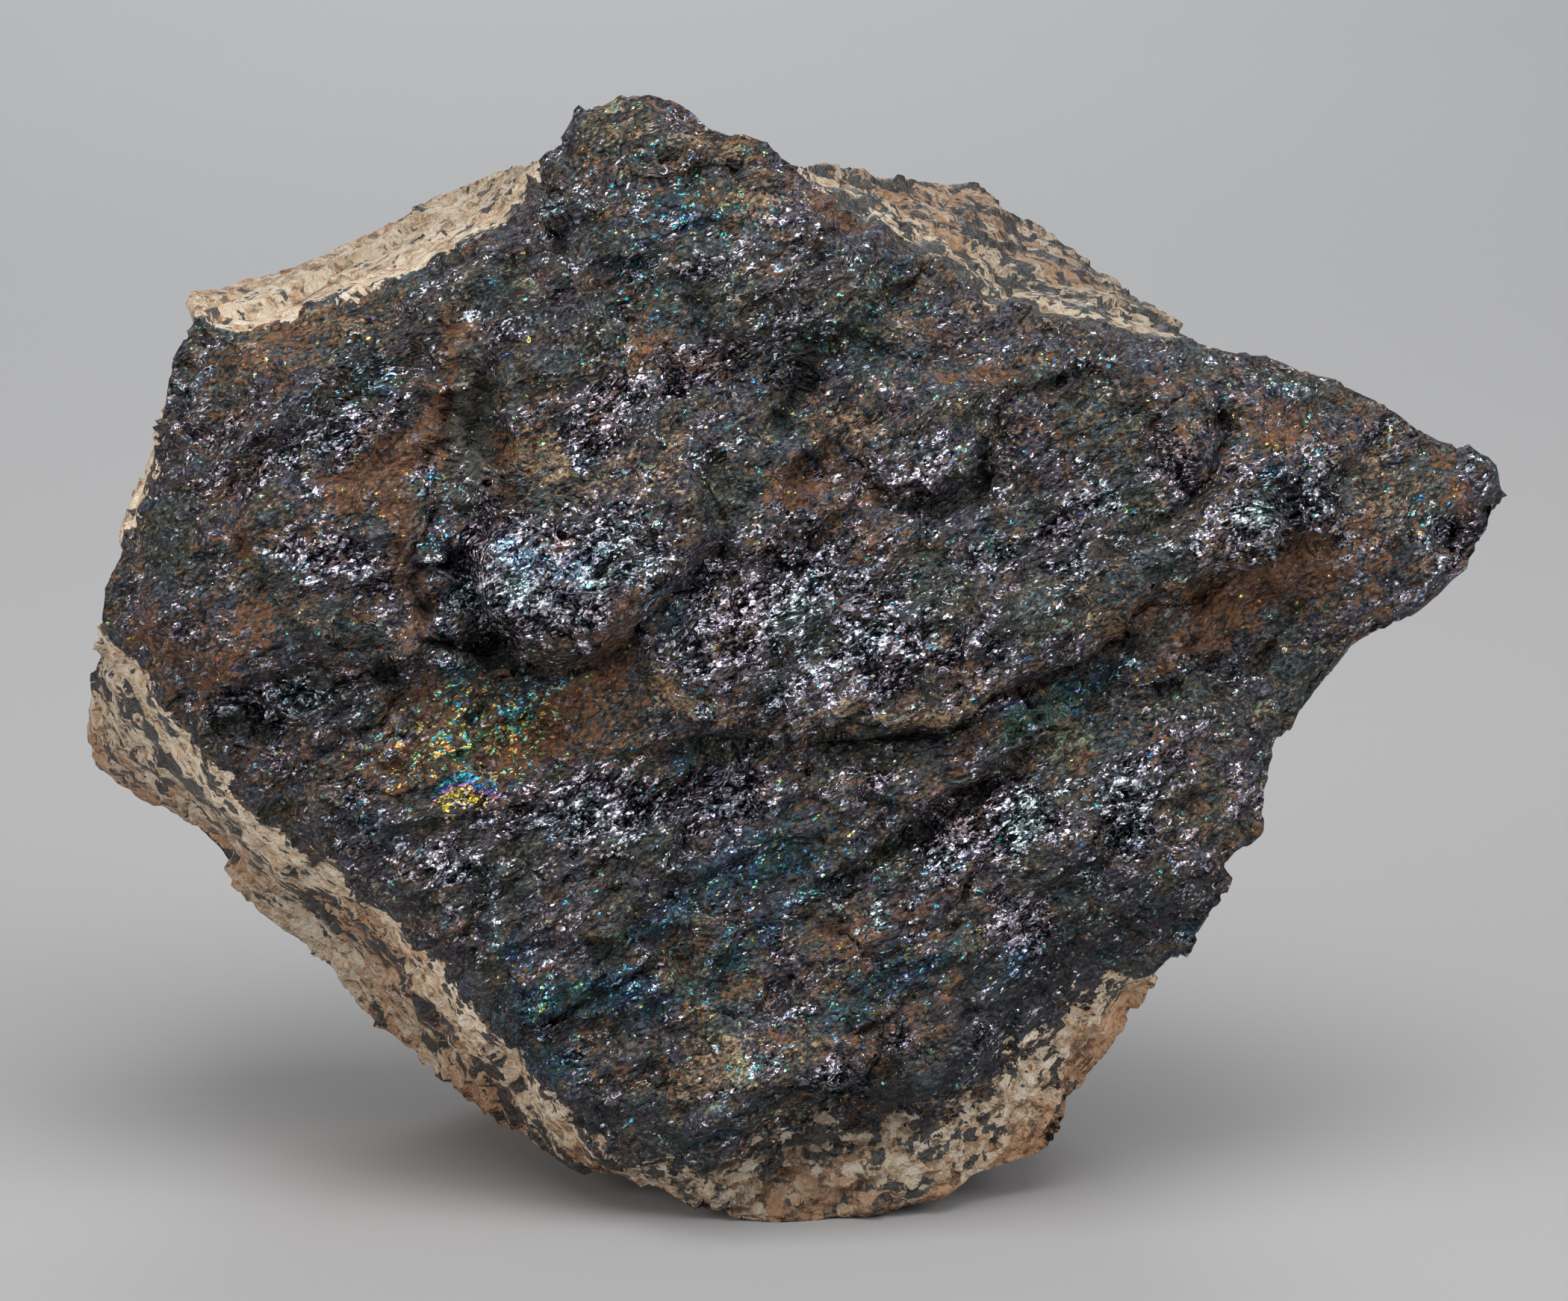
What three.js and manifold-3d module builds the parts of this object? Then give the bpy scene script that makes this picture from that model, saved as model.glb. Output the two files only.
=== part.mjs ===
// Peacock ore: a hand specimen of tarnished bornite on banded gneiss, broken out as one stone.
//
// The stone is a slab that leans back a little and rests on a small flat spot. Its broad front
// is the hackly ore face, with lumps, ledges, grooves and pits. The pale gneiss flares out behind
// the rim of that face and makes the sides and the back.
//
// Everything is in millimetres. Shapes are worked out on the leaning slab: `across` runs to the
// right, `up` runs up the face and `out` stands out of it. The last step leans the slab back,
// cuts the flat spot and puts the middle of that spot at the origin, with +Z up.
//
// This is a three.js example: it needs only the npm packages three and manifold-3d.

import * as THREE from 'three';
import { mergeVertices } from 'three/addons/utils/BufferGeometryUtils.js';
import Module from 'manifold-3d';

// Driving dimensions ---------------------------------------------------------------------------

const LEAN_DEG = 13; // how far the slab leans back from upright
const CENTRE = [1.5, 63.5]; // across and up: the point from which the rims are measured
const REST_AT = [0, 28]; // the middle of the flat spot, before it becomes the origin
const RAISED = 2; // height above the ground of the point that across, up and out start from
const EDGE_WALL = 8; // where no gneiss flares out, the edge of the slab is this thick
const ORE_COLOUR = 0x3c3c42;
const ORE_ROUGHNESS = 0.45;
const ORE_METALNESS = 0.6;

// The mesh: cells along a side of the front patch (the back patch has half as many), and the
// rows of the side walls.
const FRONT_CELLS = 48;
const FLARE_ROWS = 4; // from the face's rim out to the girth
const WALL_ROWS = 4; // from the girth to the back's rim

// The rim of the dark face, clockwise from its peak: [across, up, out].
const FACE_RIM = [
  [-14, 129, -8], [-10, 127.5, -8], [-7, 125, -7], [-0.5, 123.5, -7], [3, 120.5, -6],
  [5.5, 117.5, -5], [13.5, 113, -6], [17, 110.5, -7], [23.5, 108, -7], [25, 105, -6],
  [32.5, 104.5, -7], [37.5, 103.5, -8], [42.5, 101.5, -9], [50.5, 100, -10], [58, 98.5, -11],
  [65, 96.5, -12], [72.5, 93, -13], [78, 88.5, -14], [83, 86, -15], [85, 83, -16],
  [83.5, 78.5, -15], [80, 76, -14], [74.5, 71.5, -13], [67, 66, -12], [63, 60.5, -11],
  [58.5, 55, -10], [57, 49.5, -9], [56, 44.5, -9], [52, 40.5, -8], [53, 39, -9],
  [52, 36, -9], [48.5, 31.5, -10], [44.5, 27.5, -11], [38, 26, -10], [33.5, 23.5, -10],
  [29, 19, -10], [24.5, 14.5, -9], [19.5, 12, -8], [13.5, 12, -7], [9, 11, -6],
  [1.5, 9.5, -5], [-3.5, 7, -5], [-5.5, 5, -4], [-11.5, 6, -5], [-19, 7.5, -6],
  [-23.5, 12, -7], [-27, 16.5, -7], [-30.5, 20.5, -8], [-36, 26.5, -8], [-39.5, 30, -8],
  [-43.5, 35.5, -8], [-48, 38, -9], [-52.5, 41, -9], [-58.5, 45, -9], [-62.5, 49, -9],
  [-67, 54.5, -9], [-69.5, 57, -9], [-72.5, 62.5, -9], [-75, 65, -9], [-77, 68, -9],
  [-76.5, 72, -9], [-74, 76.5, -8], [-73, 77.5, -8], [-71, 84, -8], [-70, 88.5, -8],
  [-69.5, 93, -8], [-68.5, 98.5, -9], [-66, 103.5, -9], [-58.5, 103, -8], [-49.5, 106.5, -7],
  [-41.5, 108.5, -7], [-38, 110, -7], [-30.5, 112.5, -7], [-28.5, 114.5, -7], [-27, 117.5, -8],
  [-25.5, 122, -9], [-23.5, 123.5, -9], [-22, 126.5, -9],
];

// The girth of the gneiss where it flares out past that rim, clockwise: [across, up, out].
const GNEISS_BANDS = [
  // upper right
  [
    [3, 121.5, -15], [6.5, 122, -20], [14, 121, -26], [24, 120, -30], [32.5, 115.5, -30],
    [39, 110, -28], [46, 105, -24], [51, 100.5, -18],
  ],
  // lower right, foot and lower left
  [
    [45, 27, -19], [42.5, 23, -18], [40, 18.5, -17], [35, 13, -16], [34.5, 9, -15],
    [31, 6.5, -14], [23.5, 4.5, -11], [20, 2.5, -10], [9, 0, -8], [1.5, -1, -7],
    [-4.5, -0.5, -7], [-11, 2.5, -8], [-16.5, 4.5, -12], [-24, 5.5, -16], [-31.5, 9, -24],
    [-39.5, 14.5, -32], [-45.5, 19.5, -38], [-53.5, 27, -42], [-62, 33.5, -43], [-68, 41, -43],
    [-74.5, 46, -42], [-81.5, 51, -38], [-82, 55.5, -34], [-80, 62.5, -26], [-78, 68, -17],
  ],
  // left
  [[-75, 77, -16], [-75.5, 78, -17], [-75.5, 80.5, -20], [-73, 86, -20], [-70.5, 93.5, -17]],
  // upper left
  [
    [-66.6, 103.6, -17], [-68, 106.5, -20], [-63.5, 108.5, -28], [-54.5, 112, -30],
    [-47, 115.5, -30], [-39.5, 119.5, -29], [-31.5, 122, -24], [-25.5, 123, -17],
  ],
];

// Per eighth of a turn, from the right and anticlockwise: how much of the girth's reach the
// back's rim keeps, and how sharply the face bends down to its own rim.
const BACK_KEEPS = [0.8, 0.88, 0.87, 0.92, 0.93, 0.91, 0.94, 0.85];
const RIM_SHARPNESS = [4, 6, 6, 8, 10, 16, 9, 8];

// The back is the nearest of a few broken planes: out = level + across and up times the slopes.
const BACK_PLANES = [
  { level: -57, acrossSlope: 0.02, upSlope: 0.08 },
  { level: -60, acrossSlope: 0.34, upSlope: 0.04 },
  { level: -74, acrossSlope: -0.05, upSlope: 0.27 },
  { level: -63, acrossSlope: -0.2, upSlope: 0.02 },
  { level: -38, acrossSlope: 0, upSlope: -0.9 }, // under the heel
];

// Rounded forms of the face: centre, half length and half width, turn of the length from the
// across direction, and height. A negative height is a hollow.
const SWELLS = [
  { at: [-51.6, 85.5], radii: [16, 21], turn: 0, height: 4.5 }, // left lobe
  { at: [-19.6, 76], radii: [15, 12], turn: 20, height: 5 }, // overhanging nose
  { at: [-25.9, 56.2], radii: [10.5, 6.5], turn: 15, height: -4.5 }, // rusty hollow
  { at: [8.8, 67.7], radii: [23, 11], turn: 20, height: 5 }, // long middle swell
  { at: [37.2, 42.8], radii: [20, 12], turn: 30, height: 4.5 }, // lower right lobe
  { at: [14.1, 90.8], radii: [15, 9.5], turn: 5, height: 4 }, // upper right lump
  { at: [54.1, 79.3], radii: [6, 5], turn: 20, height: 3.5 }, // pair of knobs, inner
  { at: [63, 81.1], radii: [5, 4.5], turn: 50, height: 3.5 }, // pair of knobs, outer
  { at: [-11.6, 114], radii: [13, 9], turn: 0, height: 3 }, // peak
  { at: [9.2, 106.8], radii: [8, 6.5], turn: 0, height: 3.5 }, // lump under the peak
  { at: [-1.9, 15.7], radii: [11.5, 4.5], turn: 22, height: 3.5 }, // lens at the foot
];

// Pits: sharp-edged hollows, given in the same way.
const PITS = [
  { at: [-33, 65], radii: [5, 1.6], turn: 5, height: -2.5 },
  { at: [77.7, 78.4], radii: [2.8, 2.2], turn: 30, height: -2.5 },
  { at: [15.5, 111.3], radii: [2.8, 1.8], turn: -20, height: -4 },
  { at: [-9.3, 30.4], radii: [4.6, 2.4], turn: 42, height: -1.5 },
  { at: [-58.8, 57.9], radii: [4, 2.4], turn: 0, height: -2 },
  { at: [-48.1, 59.7], radii: [3.6, 2.4], turn: 20, height: -2 },
  { at: [-4.5, 49.1], radii: [2.4, 3.6], turn: -15, height: -1.5 },
];

// Grooves: a line of points, the half width and the depth.
const GROOVES = [
  {
    line: [[-37.4, 104.2], [-36.1, 97.1], [-32.8, 89.1], [-32.5, 81.9], [-37.4, 74.8], [-34, 65.5]],
    width: 5.5, depth: 6,
  }, // valley between the left lobe and the nose
  {
    line: [[5.2, 38.8], [13.2, 42.8], [22.1, 48.2], [27.5, 52.2], [37.2, 58.8], [51.5, 65.1], [63.9, 72.2]],
    width: 4, depth: 3.5,
  }, // long slanting valley above the lower right lobe
  { line: [[50.6, 95.3], [51.5, 89.1], [48.8, 83.7], [46.1, 80.2]], width: 1.8, depth: 2.2 },
  { line: [[-21.4, 119.7], [-11.6, 117.9], [-1.9, 119.7]], width: 1.8, depth: 1.8 },
  { line: [[18.1, 108.6], [16.4, 104.6], [13.2, 103.3]], width: 1.8, depth: 2.8 },
  { line: [[6.1, 99.7], [3.5, 92.6], [1.7, 89.1]], width: 1.6, depth: 1.2 },
  { line: [[-29.4, 24.2], [-21.4, 21.1], [-13.4, 25.9], [-9, 30.8], [-6.8, 33.1]], width: 2.8, depth: 3 },
];

// Ledges: the side on the left of the line stands up. `drop` is the height lost at the line,
// `brow` the distance over which the top fades back, and `foot` the width of the notch below.
const LEDGES = [
  {
    line: [
      [-34, 77.3], [-33.6, 74], [-32.1, 70.8], [-30.3, 67.7], [-27.8, 66.4], [-24.4, 63.7],
      [-21.4, 64.4], [-16.1, 67.9], [-11.6, 72.4], [-7.4, 78], [-4.5, 79.3],
    ],
    drop: 7, brow: 9, foot: 4,
  }, // under the nose
  {
    line: [
      [-13.4, 60.6], [-7.2, 57.5], [0.4, 55.1], [10.6, 54.4], [18.1, 56.6],
      [24.4, 59.3], [31.5, 62.4], [41.7, 68.6], [50.6, 74.8], [55.9, 77.5],
    ],
    drop: 6, brow: 10, foot: 5,
  }, // under the long middle swell
  {
    line: [[5.2, 39.5], [13.2, 43.5], [22.1, 48.9], [27.5, 52.9], [37.2, 59.5]],
    drop: 3.5, brow: 6, foot: 3,
  }, // upper lip of the slanting valley
  {
    line: [
      [6.1, 85.5], [13.2, 84.4], [19.5, 81.8], [27, 85.5],
      [25.2, 91.7], [28.4, 94.4], [37.2, 97.1], [44.4, 96.2],
    ],
    drop: 4, brow: 6, foot: 3,
  }, // round the upper right lump
  { line: [[-11.6, 10.8], [-2.8, 12.2], [7, 15.7], [12.4, 20.6]], drop: 3.5, brow: 5, foot: 3 },
  {
    line: [[-65, 60.6], [-57.9, 62.4], [-49.9, 65.1], [-43.6, 63.3], [-37.4, 65.5]],
    drop: 3, brow: 6, foot: 3,
  }, // above the small hollows on the left
  { line: [[30.1, 37.5], [37.2, 41.9], [37.2, 48.2]], drop: 2, brow: 4, foot: 2 },
  {
    line: [[-33, 101.5], [-31.5, 96], [-28.5, 89], [-28, 82], [-31.5, 75.5], [-32, 69]],
    drop: 4, brow: 10, foot: 3,
  }, // right bank of the valley
  {
    line: [[-41, 66], [-37, 66.8], [-33, 67], [-29, 65.8], [-26, 63]],
    drop: 3, brow: 4, foot: 3,
  }, // lip over the deepest pit
];
const PIT_EDGE = 0.8; // share of the radius over which a pit's wall falls
const LINE_TAPER = 0.18; // share of a line's length over which it dies away at each end
const LEDGE_STEEPNESS = 3.2; // width over which a ledge falls
const WANDER = { size: 7, reach: 1.6, seed: 21 }; // how the forms stray from their drawn places

// Roughness of the broken surface: swelling and small tilted facets, both drawn out along the
// fabric of the rock.
const FABRIC_DEG = 27; // direction of the streaks on the face
const FABRIC_STRETCH = 1.8; // how much longer than wide they are
const SWELLING = { size: 14, height: 1.3, seed: 1 };
const FACETS = [
  { size: 15, height: 2.8, seed: 3 },
  { size: 7.5, height: 1.8, seed: 5 },
];
const SIDE_SHARE = 0.4; // the sides are this much as rough as the face and the back

// Noise ----------------------------------------------------------------------------------------

const HASH_MIX = [374761393, 668265263, 1274126177, 1103515245];
const HASH_RANGE = 4294967296;

/** A fixed random number from 0 to 1 for a lattice point. */
function latticeValue(x, y, z, seed) {
  let hash = Math.imul(x, HASH_MIX[0]) + Math.imul(y, HASH_MIX[1]);
  hash = (hash + Math.imul(z, HASH_MIX[2]) + Math.imul(seed, HASH_MIX[3])) | 0;
  hash = Math.imul(hash ^ (hash >>> 13), HASH_MIX[2]);
  hash ^= hash >>> 16;
  return (hash >>> 0) / HASH_RANGE;
}

const fade = (t) => t * t * (3 - 2 * t);
const mix = (a, b, t) => a + (b - a) * t;

/** Smooth noise from -1 to 1: lattice values blended across the cell around the point. */
function noise(x, y, z, seed) {
  const [cx, cy, cz] = [Math.floor(x), Math.floor(y), Math.floor(z)];
  const [tx, ty, tz] = [fade(x - cx), fade(y - cy), fade(z - cz)];
  const edge = (dy, dz) => mix(
    latticeValue(cx, cy + dy, cz + dz, seed),
    latticeValue(cx + 1, cy + dy, cz + dz, seed),
    tx,
  );
  const layer = (dz) => mix(edge(0, dz), edge(1, dz), ty);
  return 2 * mix(layer(0), layer(1), tz) - 1;
}

/** Three fixed random numbers from 0 to 1 for a lattice point. */
function latticeVector(x, y, z, seed) {
  return [0, 1, 2].map((axis) => latticeValue(x, y, z, seed * 8 + axis));
}

/** Height of a surface of tilted facets: each point lies on the plane of its nearest seed. */
function facetNoise(place, seed) {
  const cell = place.map(Math.floor);
  let nearest = { squared: Infinity, height: 0 };
  for (let k = 0; k < 27; k += 1) {
    const step = [(k % 3) - 1, (Math.floor(k / 3) % 3) - 1, Math.floor(k / 9) - 1];
    const corner = cell.map((value, axis) => value + step[axis]);
    const jitter = latticeVector(...corner, seed);
    const arm = place.map((value, axis) => value - corner[axis] - jitter[axis]);
    const squared = arm[0] ** 2 + arm[1] ** 2 + arm[2] ** 2;
    if (squared < nearest.squared) {
      const tilt = latticeVector(...corner, seed + 1);
      const height = arm.reduce((sum, value, axis) => sum + value * (2 * tilt[axis] - 1), 0);
      nearest = { squared, height };
    }
  }
  return nearest.height;
}

/** How far the broken surface stands proud at a point of the slab. */
function roughness(across, up, out) {
  const turn = THREE.MathUtils.degToRad(FABRIC_DEG);
  const along = (across * Math.cos(turn) + up * Math.sin(turn)) / FABRIC_STRETCH;
  const over = up * Math.cos(turn) - across * Math.sin(turn);
  const scaled = (size) => [along / size, over / size, out / size];
  const swelling = SWELLING.height * noise(...scaled(SWELLING.size), SWELLING.seed);
  return FACETS.reduce(
    (sum, { size, height, seed }) => sum + height * facetNoise(scaled(size), seed),
    swelling,
  );
}

// Relief of the face ---------------------------------------------------------------------------

/** Distance from the centre of a turned ellipse, 1 on its edge. */
function ellipseDistance([across, up], { at, radii, turn }) {
  const angle = THREE.MathUtils.degToRad(turn);
  const [dx, dy] = [across - at[0], up - at[1]];
  const along = dx * Math.cos(angle) + dy * Math.sin(angle);
  const over = dy * Math.cos(angle) - dx * Math.sin(angle);
  return Math.hypot(along / radii[0], over / radii[1]);
}

/** The nearest place on a line: its distance, positive on the left, and its share of the length. */
function nearestOnLine([across, up], line) {
  let best = { distance: Infinity, side: 1, share: 0 };
  for (let i = 0; i + 1 < line.length; i += 1) {
    const [ax, ay] = line[i];
    const [dx, dy] = [line[i + 1][0] - ax, line[i + 1][1] - ay];
    const [px, py] = [across - ax, up - ay];
    const t = THREE.MathUtils.clamp((px * dx + py * dy) / (dx * dx + dy * dy), 0, 1);
    const distance = Math.hypot(px - t * dx, py - t * dy);
    if (distance < best.distance) {
      best = { distance, side: Math.sign(dx * py - dy * px) || 1, share: (i + t) / (line.length - 1) };
    }
  }
  return best;
}

/** Lines die away over the last part of their length: 1 along the middle, 0 at both ends. */
function lineStrength(share) {
  return fade(THREE.MathUtils.clamp(Math.min(share, 1 - share) / LINE_TAPER, 0, 1));
}

const swellHeight = (point, form) => form.height * Math.exp(-(ellipseDistance(point, form) ** 2));

function pitHeight(point, form) {
  const inside = (1 + PIT_EDGE / 2 - ellipseDistance(point, form)) / PIT_EDGE;
  return form.height * fade(THREE.MathUtils.clamp(inside, 0, 1));
}

function grooveHeight(point, { line, width, depth }) {
  const { distance, share } = nearestOnLine(point, line);
  return -depth * lineStrength(share) * Math.exp(-((distance / width) ** 2));
}

/** Above the line the top fades back over the brow; below it the notch closes over the foot. */
function ledgeHeight(point, { line, drop, brow, foot }) {
  const { distance, side, share } = nearestOnLine(point, line);
  const rise = fade(THREE.MathUtils.clamp((side * distance) / LEDGE_STEEPNESS + 0.5, 0, 1));
  const above = Math.exp(-((distance / brow) ** 2));
  const below = Math.exp(-((distance / foot) ** 2));
  return drop * lineStrength(share) * (mix(-below, above, rise) / 2);
}

/** Where the drawn forms are read for a point of the face, so that they stray a little. */
function strayed(across, up) {
  const { size, reach, seed } = WANDER;
  return [
    across + reach * noise(across / size, up / size, 0, seed),
    up + reach * noise(across / size, up / size, 0, seed + 1),
  ];
}

/** Height of all the forms of the face together. */
function relief(across, up) {
  const point = strayed(across, up);
  const total = (forms, height) => forms.reduce((sum, form) => sum + height(point, form), 0);
  return total(SWELLS, swellHeight) + total(PITS, pitHeight)
    + total(GROOVES, grooveHeight) + total(LEDGES, ledgeHeight);
}

// Rims, by direction from the centre -----------------------------------------------------------

/** Where the ray from the centre crosses a clockwise line: its reach and height, or null. */
function crossing(direction, line, closed) {
  const last = closed ? line.length : line.length - 1;
  for (let i = 0; i < last; i += 1) {
    const [a, b] = [line[i], line[(i + 1) % line.length]];
    const [ax, ay] = [a[0] - CENTRE[0], a[1] - CENTRE[1]];
    const [dx, dy] = [b[0] - a[0], b[1] - a[1]];
    const facing = direction[0] * dy - direction[1] * dx;
    const t = (ax * direction[1] - ay * direction[0]) / facing;
    const reach = (ax * dy - ay * dx) / facing;
    if (t >= 0 && t <= 1 && reach > 0) {
      return { reach, out: mix(a[2], b[2], t) };
    }
  }
  return null;
}

/** A value per eighth of a turn, blended smoothly round the stone. */
function byDirection(values, angle) {
  const eighth = (angle / (Math.PI / 4) + values.length * 2) % values.length;
  const low = Math.floor(eighth);
  return mix(values[low], values[(low + 1) % values.length], fade(eighth - low));
}

/** Reach and height of the face's rim, the girth and the back's rim in one direction. */
function rimsAt(angle) {
  const direction = [Math.cos(angle), Math.sin(angle)];
  const face = crossing(direction, FACE_RIM, true);
  const bands = GNEISS_BANDS.map((band) => crossing(direction, band, false)).filter(Boolean);
  const edge = { reach: face.reach, out: face.out - EDGE_WALL };
  const girth = bands.reduce((widest, band) => (band.reach > widest.reach ? band : widest), edge);
  return { direction, face, girth, back: { reach: girth.reach * byDirection(BACK_KEEPS, angle) } };
}

const place = (direction, reach) => [
  CENTRE[0] + reach * direction[0],
  CENTRE[1] + reach * direction[1],
];

/** The nearest of the broken planes of the back. */
function backOut([across, up]) {
  return Math.max(...BACK_PLANES.map((p) => p.level + p.acrossSlope * across + p.upSlope * up));
}

// The closed surface ---------------------------------------------------------------------------

/** Turns a point of the square, -1 to 1 each way, into a direction and a share of the reach. */
function squareToDisc(a, b) {
  const wide = a * a > b * b;
  const share = wide ? a : b;
  if (share === 0) {
    return { share: 0, angle: 0 };
  }
  const angle = wide ? (Math.PI / 4) * (b / a) : Math.PI / 2 - (Math.PI / 4) * (a / b);
  return { share: Math.abs(share), angle: share < 0 ? angle + Math.PI : angle };
}

/** Point of the ore face. */
function facePoint(a, b) {
  const { share, angle } = squareToDisc(a, b);
  const { direction, face } = rimsAt(angle);
  const spot = place(direction, share * face.reach);
  const bend = share ** byDirection(RIM_SHARPNESS, angle);
  return [...spot, face.out * bend + relief(...spot)];
}

/** Point of the back. */
function backPoint(a, b) {
  const { share, angle } = squareToDisc(a, b);
  const { direction, back } = rimsAt(angle);
  const spot = place(direction, share * back.reach);
  return [...spot, backOut(spot)];
}

/** Row of points round the stone: 0 is the face's rim, 1 the girth and 2 the back's rim. */
function sideRow(stage, count) {
  return Array.from({ length: count }, (_, k) => {
    const angle = Math.PI * (1.25 + (2 * k) / count);
    const { direction, face, girth, back } = rimsAt(angle);
    const rimSpot = place(direction, face.reach);
    const rim = [...rimSpot, face.out + relief(...rimSpot)];
    const waist = [...place(direction, girth.reach), girth.out];
    const backSpot = place(direction, back.reach);
    const ends = stage <= 1 ? [rim, waist] : [waist, [...backSpot, backOut(backSpot)]];
    return rim.map((_value, axis) => mix(ends[0][axis], ends[1][axis], stage <= 1 ? stage : stage - 1));
  });
}

/** Closed surface: face patch, side rows that halve their number of points, and back patch. */
function stoneSurface() {
  const points = [];
  const triangles = [];
  const gap = (p, q) => Math.hypot(...points[p].map((value, axis) => value - points[q][axis]));
  const quad = (p, q, r, s) => {
    const halves = gap(p, r) < gap(q, s) ? [[p, q, r], [p, r, s]] : [[p, q, s], [q, r, s]];
    triangles.push(...halves);
  };

  const patch = (cells, pointAt) => {
    const first = points.length;
    for (let j = 0; j <= cells; j += 1) {
      for (let i = 0; i <= cells; i += 1) {
        points.push(pointAt((2 * i) / cells - 1, (2 * j) / cells - 1));
      }
    }
    return (i, j) => first + j * (cells + 1) + i;
  };
  const edgeOf = (cells, at) => Array.from({ length: 4 * cells }, (_, k) => {
    const [side, step] = [Math.floor(k / cells), k % cells];
    return [at(step, 0), at(cells, step), at(cells - step, cells), at(0, cells - step)][side];
  });
  const addRow = (row) => row.map((point) => points.push(point) - 1);
  const joinRows = (upper, lower) => upper.forEach((corner, k) => {
    const next = (k + 1) % upper.length;
    quad(corner, lower[k], lower[next], upper[next]);
  });

  const faceAt = patch(FRONT_CELLS, facePoint);
  for (let j = 0; j < FRONT_CELLS; j += 1) {
    for (let i = 0; i < FRONT_CELLS; i += 1) {
      quad(faceAt(i, j), faceAt(i + 1, j), faceAt(i + 1, j + 1), faceAt(i, j + 1));
    }
  }
  let row = edgeOf(FRONT_CELLS, faceAt);
  for (let step = 1; step <= FLARE_ROWS; step += 1) {
    const next = addRow(sideRow(step / FLARE_ROWS, row.length));
    joinRows(row, next);
    row = next;
  }
  const half = addRow(sideRow(1 + 1 / WALL_ROWS, row.length / 2));
  half.forEach((corner, k) => {
    const next = half[(k + 1) % half.length];
    const [before, middle, after] = [row[2 * k], row[2 * k + 1], row[(2 * k + 2) % row.length]];
    triangles.push([before, corner, middle], [middle, corner, next], [middle, next, after]);
  });
  row = half;
  for (let step = 2; step < WALL_ROWS; step += 1) {
    const next = addRow(sideRow(1 + step / WALL_ROWS, row.length));
    joinRows(row, next);
    row = next;
  }
  const backCells = FRONT_CELLS / 2;
  const backAt = patch(backCells, backPoint);
  joinRows(row, edgeOf(backCells, backAt));
  for (let j = 0; j < backCells; j += 1) {
    for (let i = 0; i < backCells; i += 1) {
      quad(backAt(i, j), backAt(i, j + 1), backAt(i + 1, j + 1), backAt(i + 1, j));
    }
  }

  const geometry = new THREE.BufferGeometry();
  geometry.setAttribute('position', new THREE.Float32BufferAttribute(points.flat(), 3));
  geometry.setIndex(triangles.flat());
  return geometry;
}

/** Pushes every point in or out along the surface by the roughness there. */
function roughen(geometry) {
  geometry.computeVertexNormals();
  const { position, normal } = geometry.attributes;
  const point = new THREE.Vector3();
  const outward = new THREE.Vector3();
  for (let i = 0; i < position.count; i += 1) {
    point.fromBufferAttribute(position, i);
    outward.fromBufferAttribute(normal, i);
    const share = mix(SIDE_SHARE, 1, Math.abs(outward.z));
    point.addScaledVector(outward, share * roughness(point.x, point.y, point.z));
    position.setXYZ(i, ...point);
  }
}

/** From the slab's across, up and out to the standing stone's X, Y and Z. */
function leanBack(geometry) {
  const lean = THREE.MathUtils.degToRad(LEAN_DEG);
  const [sin, cos] = [Math.sin(lean), Math.cos(lean)];
  const basis = new THREE.Matrix4().set(
    1, 0, 0, -REST_AT[0],
    0, sin, -cos, -REST_AT[1],
    0, cos, sin, RAISED,
    0, 0, 0, 1,
  );
  geometry.applyMatrix4(basis);
}

// Cutting the flat spot ------------------------------------------------------------------------

const wasm = await Module();
wasm.setup();

function toSolid(geometry) {
  const bare = geometry.clone();
  bare.deleteAttribute('normal');
  bare.deleteAttribute('uv');
  const merged = mergeVertices(bare);
  return new wasm.Manifold(new wasm.Mesh({
    numProp: 3,
    vertProperties: new Float32Array(merged.attributes.position.array),
    triVerts: new Uint32Array(merged.index.array),
  }));
}

function toGeometry(solid) {
  const { vertProperties, triVerts } = solid.getMesh();
  const geometry = new THREE.BufferGeometry();
  geometry.setAttribute('position', new THREE.BufferAttribute(vertProperties, 3));
  geometry.setIndex(new THREE.BufferAttribute(triVerts, 1));
  geometry.computeVertexNormals();
  return geometry;
}

/** Takes away what would lie below the surface that the stone rests on. */
function cutFlatSpot(geometry) {
  const [span, depth] = [400, 60];
  const below = new THREE.BoxGeometry(span, span, depth).translate(0, 0, -depth / 2);
  return toGeometry(toSolid(geometry).subtract(toSolid(below)));
}

const surface = stoneSurface();
roughen(surface);
leanBack(surface);

const stone = new THREE.Mesh(
  cutFlatSpot(surface),
  new THREE.MeshStandardMaterial({
    color: ORE_COLOUR,
    roughness: ORE_ROUGHNESS,
    metalness: ORE_METALNESS,
    flatShading: true,
  }),
);
stone.name = 'peacock_ore';

const group = new THREE.Group();
group.add(stone);
export default group;
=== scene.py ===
"""Peacock ore: a slab of tarnished bornite on banded gneiss, standing on a pale studio sweep.

The stone is one closed surface. Its shape is worked out in millimetres on the leaning slab, where
`across` runs to the right, `up` runs up the face and `out` stands out of it. The last step leans
the slab back, flattens its foot and turns millimetres into metres.
"""

import logging
import math
from dataclasses import dataclass, field
from enum import Enum

import bpy
import numpy as np
from mathutils import Matrix, Vector


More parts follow.
